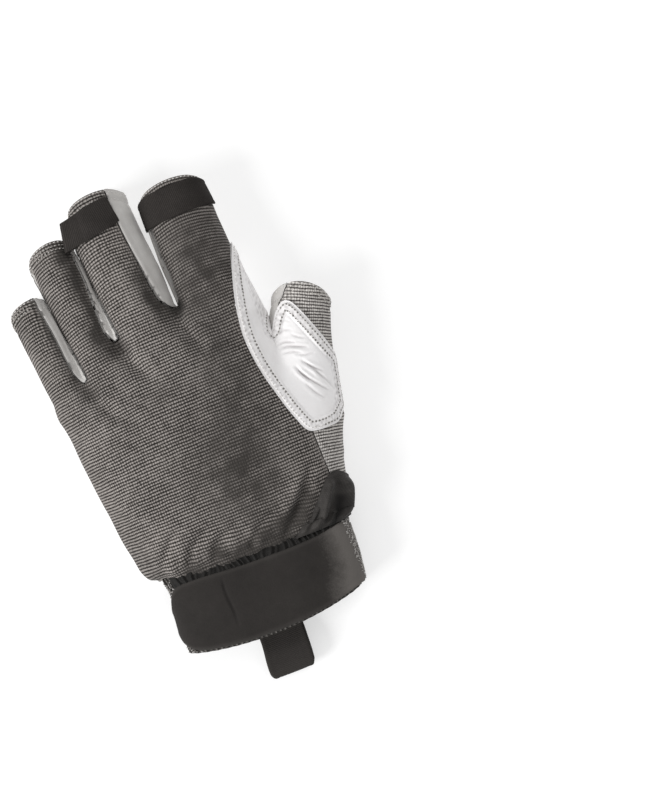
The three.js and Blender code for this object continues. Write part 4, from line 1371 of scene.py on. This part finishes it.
def cuff_size(y):
    """Middle, half width, height above and height below, of the cuff at a place along it."""
    along = (WRIST - y) / CUFF_LENGTH
    left, right = (blended(CUFF, column, along) * PALM_WIDTH for column in (1, 2))
    up, down = (blended(CUFF, column, along) * CUFF_HEIGHT for column in (3, 4))
    tucked = 1 - smooth(0.0, 0.24, along)
    sizes = ((left + right) / 2, (right - left) / 2, up, down)
    return [size * (1 - tucked) + in_hand * tucked for size, in_hand in zip(sizes, CUFF_IN_HAND)]


def cuff_end(x):
    middle, half, _, _ = cuff_size(np.float64(WRIST - CUFF_LENGTH))
    return WRIST - CUFF_LENGTH - CUFF_SAG * np.maximum(0, 1 - ((x - middle) / half) ** 2)


def around_angles(count, start, end):
    """Angles at an even pitch round the cuff, from start to end in degrees."""
    fine = np.radians(np.linspace(start, end, 1441))
    run = run_of(np.stack(cuff_outline(fine, 43.0, 9.5, 0.0), axis=1))
    lengths = np.linspace(0, run[-1], count)
    return np.interp(lengths, run, fine), lengths


def cuff_outline(angle, half, height, grow):
    across, rise = (np.sign(way) * np.abs(way) ** (2 / CUFF_POWER) for way in (np.cos(angle), np.sin(angle)))
    return across * (half + grow), rise * (height + grow)


def cuff_grid(angles, shares, grow, top, bottom):
    """Points round the cuff. top and bottom give the place along, from the angle and the place across."""
    grid = np.zeros((len(shares), len(angles), 3))
    for i, share in enumerate(shares):
        x = np.full(len(angles), 7.0)
        for _ in range(3):
            y = top(angles, x) * (1 - share) + bottom(angles, x) * share
            middle, half, up, down = cuff_size(y)
            across, rise = cuff_outline(angles, half, np.where(np.sin(angles) > 0, up, down), grow)
            x = middle + across
        grid[i] = np.stack([x, y, SEAM + rise], axis=1)
    return grid


def make_cuff():
    angles, lengths = (values[:-1] for values in around_angles(161, 0, 360))
    shares = np.linspace(0, 1, 34)
    grid = cuff_grid(angles, shares, 0.0, lambda a, x: np.full(len(a), WRIST + 2.5), lambda a, x: cuff_end(x))
    rows = np.broadcast_to(shares[:, None], grid.shape[:2])
    wide = np.broadcast_to(lengths[None], rows.shape)
    down = WRIST - grid[..., 1]
    ribs = 0.22 * np.cos((wide + RIB_SLANT * down) * 2 * math.pi / 4.6)
    relief = np.where(grid[..., 2] < 4, 0.0, ribs) - 0.35 * bell(rows - 1, 0.03)
    return make_grid_sheet("elastic_cuff", grid, np.stack([wide, down], axis=2), CUFF_WALL, relief, ELASTIC,
                           closed=True, stands_for=("cuff",))


CUFF_FACE = make_cuff()


def strap_top(degrees):
    """Where the strap's upper edge lies, by its angle round the cuff."""
    return -55.9 - 3.4 * bell(degrees - 72, 42) - 11.5 * bell(degrees - 185, 25)


def make_strap():
    angles, lengths = around_angles(240, -8, 244)
    shares = np.linspace(0, 1, 48)

    def top(a, x):
        degrees = np.degrees(a)
        return strap_top(degrees) - 1.6 * bell(degrees + 8, 3)

    def bottom(a, x):
        degrees = np.degrees(a)
        return cuff_end(x) + 0.8 + 9.5 * bell(degrees - 188, 27) + 4.0 * bell(degrees + 10, 9)

    grid = cuff_grid(angles, shares, 1.75, top, bottom)
    rows = np.broadcast_to(shares[:, None], grid.shape[:2])
    wide = np.broadcast_to(lengths[None], rows.shape)
    points = grid.reshape(-1, 3)
    relief = (0.42 * undulation(points, 34, 51) + 0.1 * undulation(points, 8, 52)).reshape(rows.shape)
    hem = np.minimum(rows, 1 - rows) * 26
    relief = relief + 0.12 * bell(hem - 0.6, 0.8) - 0.12 * bell(hem - 2.0, 0.5)
    seam_at = np.interp(107.0, np.degrees(angles), lengths)
    seam = bell(wide - seam_at - 0.7 * np.sin(rows * 7), 0.6) * smooth(0.05, 0.2, rows)
    relief = relief - 0.45 * seam * (1 - smooth(0.5, 0.9, rows))
    relief = np.where(grid[..., 2] < 3, 0.0, relief)
    shade = 0.4 * seam * (1 - smooth(0.4, 0.85, rows))
    uv = np.stack([wide, rows * 28], axis=2)
    return make_grid_sheet("strap", grid, uv, 1.5, relief, STRAP, stands_for=("wrist_strap",),
                           shade=shade)


STRAP_FACE = make_strap()


def make_band():
    """The puckered stretch cloth that shows between the knit and the strap, in the copy made darker with
    painted shade.
    """
    angles, lengths = around_angles(300, 14, 150)
    shares = np.linspace(0, 1, 26)
    grid = cuff_grid(angles, shares, 0.95, lambda a, x: np.full(len(a), WRIST + 0.5),
                     lambda a, x: strap_top(np.degrees(a)) - 1.2)
    rows = np.broadcast_to(shares[:, None], grid.shape[:2])
    wide = np.broadcast_to(lengths[None], rows.shape)
    swing = wide + 1.2 * np.sin(rows * 3 + wide * 0.21)
    puckers = np.sin(swing * 2.1 + 1.3 * np.sin(swing * 0.37)) + 0.6 * np.sin(swing * 3.7 + 1)
    shown = between(0, 4, lengths[-1] - 4, lengths[-1], wide) * between(0.02, 0.3, 0.78, 0.96, rows)
    relief = (0.4 + 0.32 * puckers) * shown - 0.6 * smooth(0.78, 1.0, rows)
    uv = np.stack([wide, rows * 9], axis=2)
    make_grid_sheet("puckered_band", grid, uv, 0.7, relief, SHADED_STRETCH)


make_band()


def make_ribbon(name, path, side, width, thickness, material, stands_for, narrower, columns=15):
    """A band of webbing along a path. side is the way across it. narrower is what it loses in width."""
    path = np.array(path, float)
    side = unit(np.broadcast_to(np.array(side, float), path.shape))
    places = np.linspace(-0.5, 0.5, columns)
    wide = width - narrower
    grid = path[:, None, :] + side[:, None, :] * (places[None, :] * wide[:, None])[:, :, None]
    uv = np.stack(np.broadcast_arrays(places[None] * width, run_of(path)[:, None]), axis=2)
    edge = width / 2 - np.abs(places) * width
    relief = 0.1 * bell(edge - 0.7, 0.6) - 0.1 * bell(edge - 1.9, 0.4)
    relief = relief[None] + 0.12 * undulation(grid.reshape(-1, 3), 14, 71).reshape(grid.shape[:2])
    make_grid_sheet(name, grid, uv, thickness, relief, material, stands_for=(stands_for,))


def arc(centre, radius, start, end, count):
    angles = np.radians(np.linspace(start, end, count))
    return [(centre[0] + radius * math.cos(a), centre[1] + radius * math.sin(a)) for a in angles]


def make_hang_loop():
    low = 0.15
    thickness = 1.5
    slack = 5.6
    at = 4.1
    end = float(cuff_end(np.float64(at)))
    inside = SEAM - 10.0 + CUFF_WALL + 0.3
    radius = slack / 2
    bottom = low + thickness
    turn = end - 21 + radius + thickness
    middle = thickness / 2
    crown = bottom + slack + middle
    profile = [(WRIST - 2, low + middle), (-70, low + middle), (turn + 6, low + middle)]
    profile += arc((turn, bottom + radius), radius + middle, 270, 90, 22)
    profile += curve_through([(turn + 3, crown), (turn + 7, crown - 0.2), (end - 4, inside + middle + 0.5),
                              (end - 1, inside + middle), (end + 6, inside + middle)], 5)
    y, z = evened(np.array(profile), 110).T
    path = np.stack([at - 1.2 * smooth(-92, -110, y), y, z], axis=1)
    tip = y - (turn - radius - thickness)
    narrower = 2.6 * bell(tip, 1.5) - 0.5 * bell(tip - 7, 5)
    way = np.gradient(path[:, 1:], axis=0)
    normal = unit(np.stack([np.zeros(len(y)), way[:, 1], -way[:, 0]], axis=1))
    make_ribbon("webbing_loop", path - normal * middle, (1, 0, 0), 19.0, thickness, LOOP,
                "hang_loop", narrower, columns=19)


make_hang_loop()


# The pull tabs

def finger_ring(f, share, angle, grow):
    """A point round a finger at a share of its length."""
    half, up, down = (float(size) for size in finger_size(f, np.float64(share * f.length)))
    ways = (math.cos(angle), math.sin(angle))
    across, rise = (math.copysign(abs(way) ** (2 / FINGER_POWER), way) for way in ways)
    x, y = on_finger(f, across * (half + grow) / half, share)
    return np.array([x, y, SEAM + rise * ((up if rise > 0 else down) + grow)])


def tab_frame(f):
    """The ways across and along a finger's end."""
    turn = -f.lean + f.slant
    return np.array([math.cos(turn), math.sin(turn), 0.0]), np.array([-math.sin(turn), math.cos(turn), 0.0])


def make_index_tab():
    across, along = tab_frame(INDEX)
    angles = np.radians(np.linspace(0, 180, 70))
    path = []
    ways = []
    for angle in angles:
        side = math.cos(angle)
        bow = 0.7 - 1.5 * abs(side) ** 5
        path.append(finger_ring(INDEX, 1 - (8.1 - bow) / INDEX.length, angle, 1.25))
        ways.append(along + across * (-0.06 * side))
    narrower = 1.6 * np.abs(np.cos(angles)) ** 6
    make_ribbon("index_tab", path, ways, 12.6, TAB_THICKNESS, TAB, "index_pull_tab", narrower)


def make_middle_tab():
    """A tab that lies over the finger's end and stands out beside it as a folded loop."""
    from_end = 8.6
    reach = 3.2
    at = np.float64((1 - from_end / MIDDLE.length) * MIDDLE.length)
    across, along = tab_frame(MIDDLE)
    tilt = math.radians(7)
    way = across * math.cos(tilt) + along * math.sin(tilt)
    half, up, _ = (float(size) for size in finger_size(MIDDLE, at))
    centre = np.array([*on_finger(MIDDLE, 0, 1 - from_end / MIDDLE.length), SEAM])
    centre[0] -= float(drawn_in(MIDDLE, at)) / 2
    start = 0.54 * half
    leave = -0.62 * half
    end = -(half + reach)
    gap = 1.5

    def at_height(u, rise):
        return centre + way * u + np.array([0, 0, rise])

    def over(u, grow=1.3):
        share = min(abs(u) / (half + grow), 1) ** FINGER_POWER
        return (up + grow) * (1 - share) ** (1 / FINGER_POWER)

    path = [at_height(u, over(u)) for u in np.linspace(start, leave, 26)]
    path += [at_height(u, over(leave) - (leave - u) * 0.16) for u in np.linspace(leave, end + gap, 12)[1:]]
    turn = path[-1]
    for angle in np.radians(np.linspace(0, 180, 12))[1:]:
        path.append(turn - way * (gap * math.sin(angle)) - np.array([0, 0, gap * (1 - math.cos(angle))]))
    last = path[-1]
    path += [last + way * (step * 4.0) + np.array([0, 0, 0.5 * step]) for step in np.linspace(0, 1, 9)[1:]]
    path = evened(np.array(path), 90)
    u = (path - centre) @ way
    lean = np.radians(7 - 20 * smooth(0.2 * half, end, u))[:, None]
    side = along * np.cos(lean) - across * np.sin(lean)
    narrower = bell(u - start, 1.2)
    make_ribbon("middle_tab", path[::-1], side[::-1], 12.2, TAB_THICKNESS, TAB,
                "middle_pull_tab", narrower[::-1])


make_index_tab()
make_middle_tab()


# Stitches

def rows_on(sheet, value, level, where):
    """The stretches of a sheet's level lines where a test holds."""
    kept = []
    for line in contour(sheet.points, sheet.faces, value, level):
        start = None
        for i, good in enumerate([*where(line), False]):
            if good and start is None:
                start = i
            elif not good and start is not None:
                if i - start > 4:
                    kept.append(line[start:i])
                start = None
    return kept


def not_on_index(line):
    return owner_of(line)[0] != FINGERS.index(INDEX)


def loose_threads(beads, points, normals, pick, count, seed):
    """Short ends of thread that lie on a worn edge in any direction."""
    rng = np.random.RandomState(seed)
    spots = np.flatnonzero(pick)
    for i in rng.choice(spots, count):
        way = unit(np.cross(normals[i], rng.normal(size=3)))
        half = way * rng.uniform(0.35, 0.9)
        stitch(beads, points[i] - half, points[i] + half, normals[i], rng.uniform(0.13, 0.2), sink=0.0,
               arch=0.35)


def make_loose_threads():
    beads = Beads()
    points, normals = STRAP_FACE
    x, y, z = points.T
    loose_threads(beads, points, normals, (x > 47.0) & (z > SEAM - 3), 300, 31)
    points, normals = CUFF_FACE
    x, y, z = points.T
    upper = (x < -20) & (z > SEAM) & (y < WRIST - 1) & (y > WRIST - 9)
    loose_threads(beads, points, normals, upper, 130, 32)
    lower = (x < -24) & (z > SEAM - 2) & (y < WRIST - 22)
    loose_threads(beads, points, normals, lower, 130, 33)
    beads.make("cuff_threads", WORN_THREAD, "rib_elastic")


def sew_rows(sheet, value, level, where, *settings, **more):
    """Sews a sheet along the lines where a value has a level."""
    for line in rows_on(sheet, value, level, where):
        sew(line, *settings, **more)


def in_sight(line):
    return (line[:, 2] > 1.5) & ((line[:, 1] < 24) | (line[:, 2] > SEAM + 2))


def by_thumb(line):
    return in_sight(line) & (line[:, 0] > 56)


def by_back(line):
    return in_sight(line) & (line[:, 0] <= 56)


def make_stitches():
    pale, marks, first, grey, palm_rows = (Beads() for _ in range(5))
    sew_rows(patch, patch.near, 3.9, in_sight, pale, marks, 1.6, 0.9, 0.3, 2)
    sew_rows(patch, patch.near, 1.6, by_thumb, pale, marks, 1.6, 0.9, 0.3, 1)
    sew_rows(patch, patch.near, 1.4, by_back, pale, None, 1.6, 1.1, 0.3, 3, wander=0.16)
    pale.make("patch_stitches", PALE_THREAD, "patch_leather")
    marks.make("patch_needle_marks", HOLE, "patch_leather")
    for sheet, levels in ((back, (0.8, 2.4, 4.0)), (side, (0.9, 2.2, 4.2))):
        sew_rows(sheet, sheet.rim, levels[0], lambda line: line[:, 2] > 0, first, None, 1.7, 1.15, 0.25, 10,
                 wander=0.16)
        for seed, level in enumerate(levels[1:], 11):
            sew_rows(sheet, sheet.rim, level, not_on_index, grey, None, 1.7, 1.15, 0.25, seed, wander=0.16)
    first.make("rim_stitches", PALE_THREAD, "back_knit")
    grey.make("hem_stitches", GREY_THREAD, "back_knit")
    for seed, level in ((20, 1.6), (21, 4.9)):
        sew_rows(palm, palm.rim, level, lambda line: line[:, 2] > 0.8, palm_rows, None, 2.0, 1.2, 0.25, seed)
    palm_rows.make("palm_rim_stitches", PALE_THREAD, "palm_leather")


make_stitches()
make_loose_threads()


# Light, floor and camera

def make_floor():
    mesh = bpy.data.meshes.new("floor")
    reach = 3.0
    corners = [(-reach, -reach, 0), (reach, -reach, 0), (reach, reach, 0), (-reach, reach, 0)]
    mesh.from_pydata(corners, [], [(0, 1, 2, 3)])
    look = Look("floor_paper", roughness=0.95, specular=0.1)
    look.set(look.shader, {"Emission Color": (1.0, 1.0, 1.0, 1.0), "Emission Strength": 0.52})
    tone = look.ramp(look.noise(400.0), [(0.3, (0.56, 0.56, 0.56)), (0.7, (0.59, 0.59, 0.59))])
    mesh.materials.append(look.finish(tone))
    floor = placed("floor", mesh)


def make_light(name, place, aim, size, power):
    data = bpy.data.lights.new(name, "AREA")
    data.shape = "SQUARE"
    data.size = size
    data.energy = power
    lamp = placed(name, data)
    lamp.location = place
    lamp.rotation_euler = (Vector(aim) - Vector(place)).to_track_quat("-Z", "Y").to_euler()


def make_camera():
    data = bpy.data.cameras.new("camera")
    data.type = "PERSP"
    data.lens = 100.0
    data.sensor_fit = "VERTICAL"
    data.sensor_height = 36.0
    data.clip_start = 0.05
    data.clip_end = 20.0
    seen = 0.348
    camera = placed("camera", data)
    camera.location = (0.0603, -0.0054, seen * data.lens / data.sensor_height + 0.015)
    camera.rotation_euler = (0.0, 0.0, math.radians(-22.0))
    bpy.context.scene.camera = camera


def make_world():
    world = bpy.data.worlds.new("studio")
    bpy.context.scene.world = world
    world.use_nodes = True
    background = world.node_tree.nodes["Background"]
    background.inputs["Color"].default_value = (1.0, 1.0, 1.0, 1.0)
    background.inputs["Strength"].default_value = 0.5


make_world()
make_floor()
make_light("key", (-1.32, -0.2, 0.75), (0.01, 0.0, 0.0), 0.8, 22.0)
make_light("fill", (0.6, 0.75, 1.1), (0.02, 0.0, 0.0), 0.9, 5.5)
make_camera()
bpy.context.scene.view_settings.view_transform = "Standard"
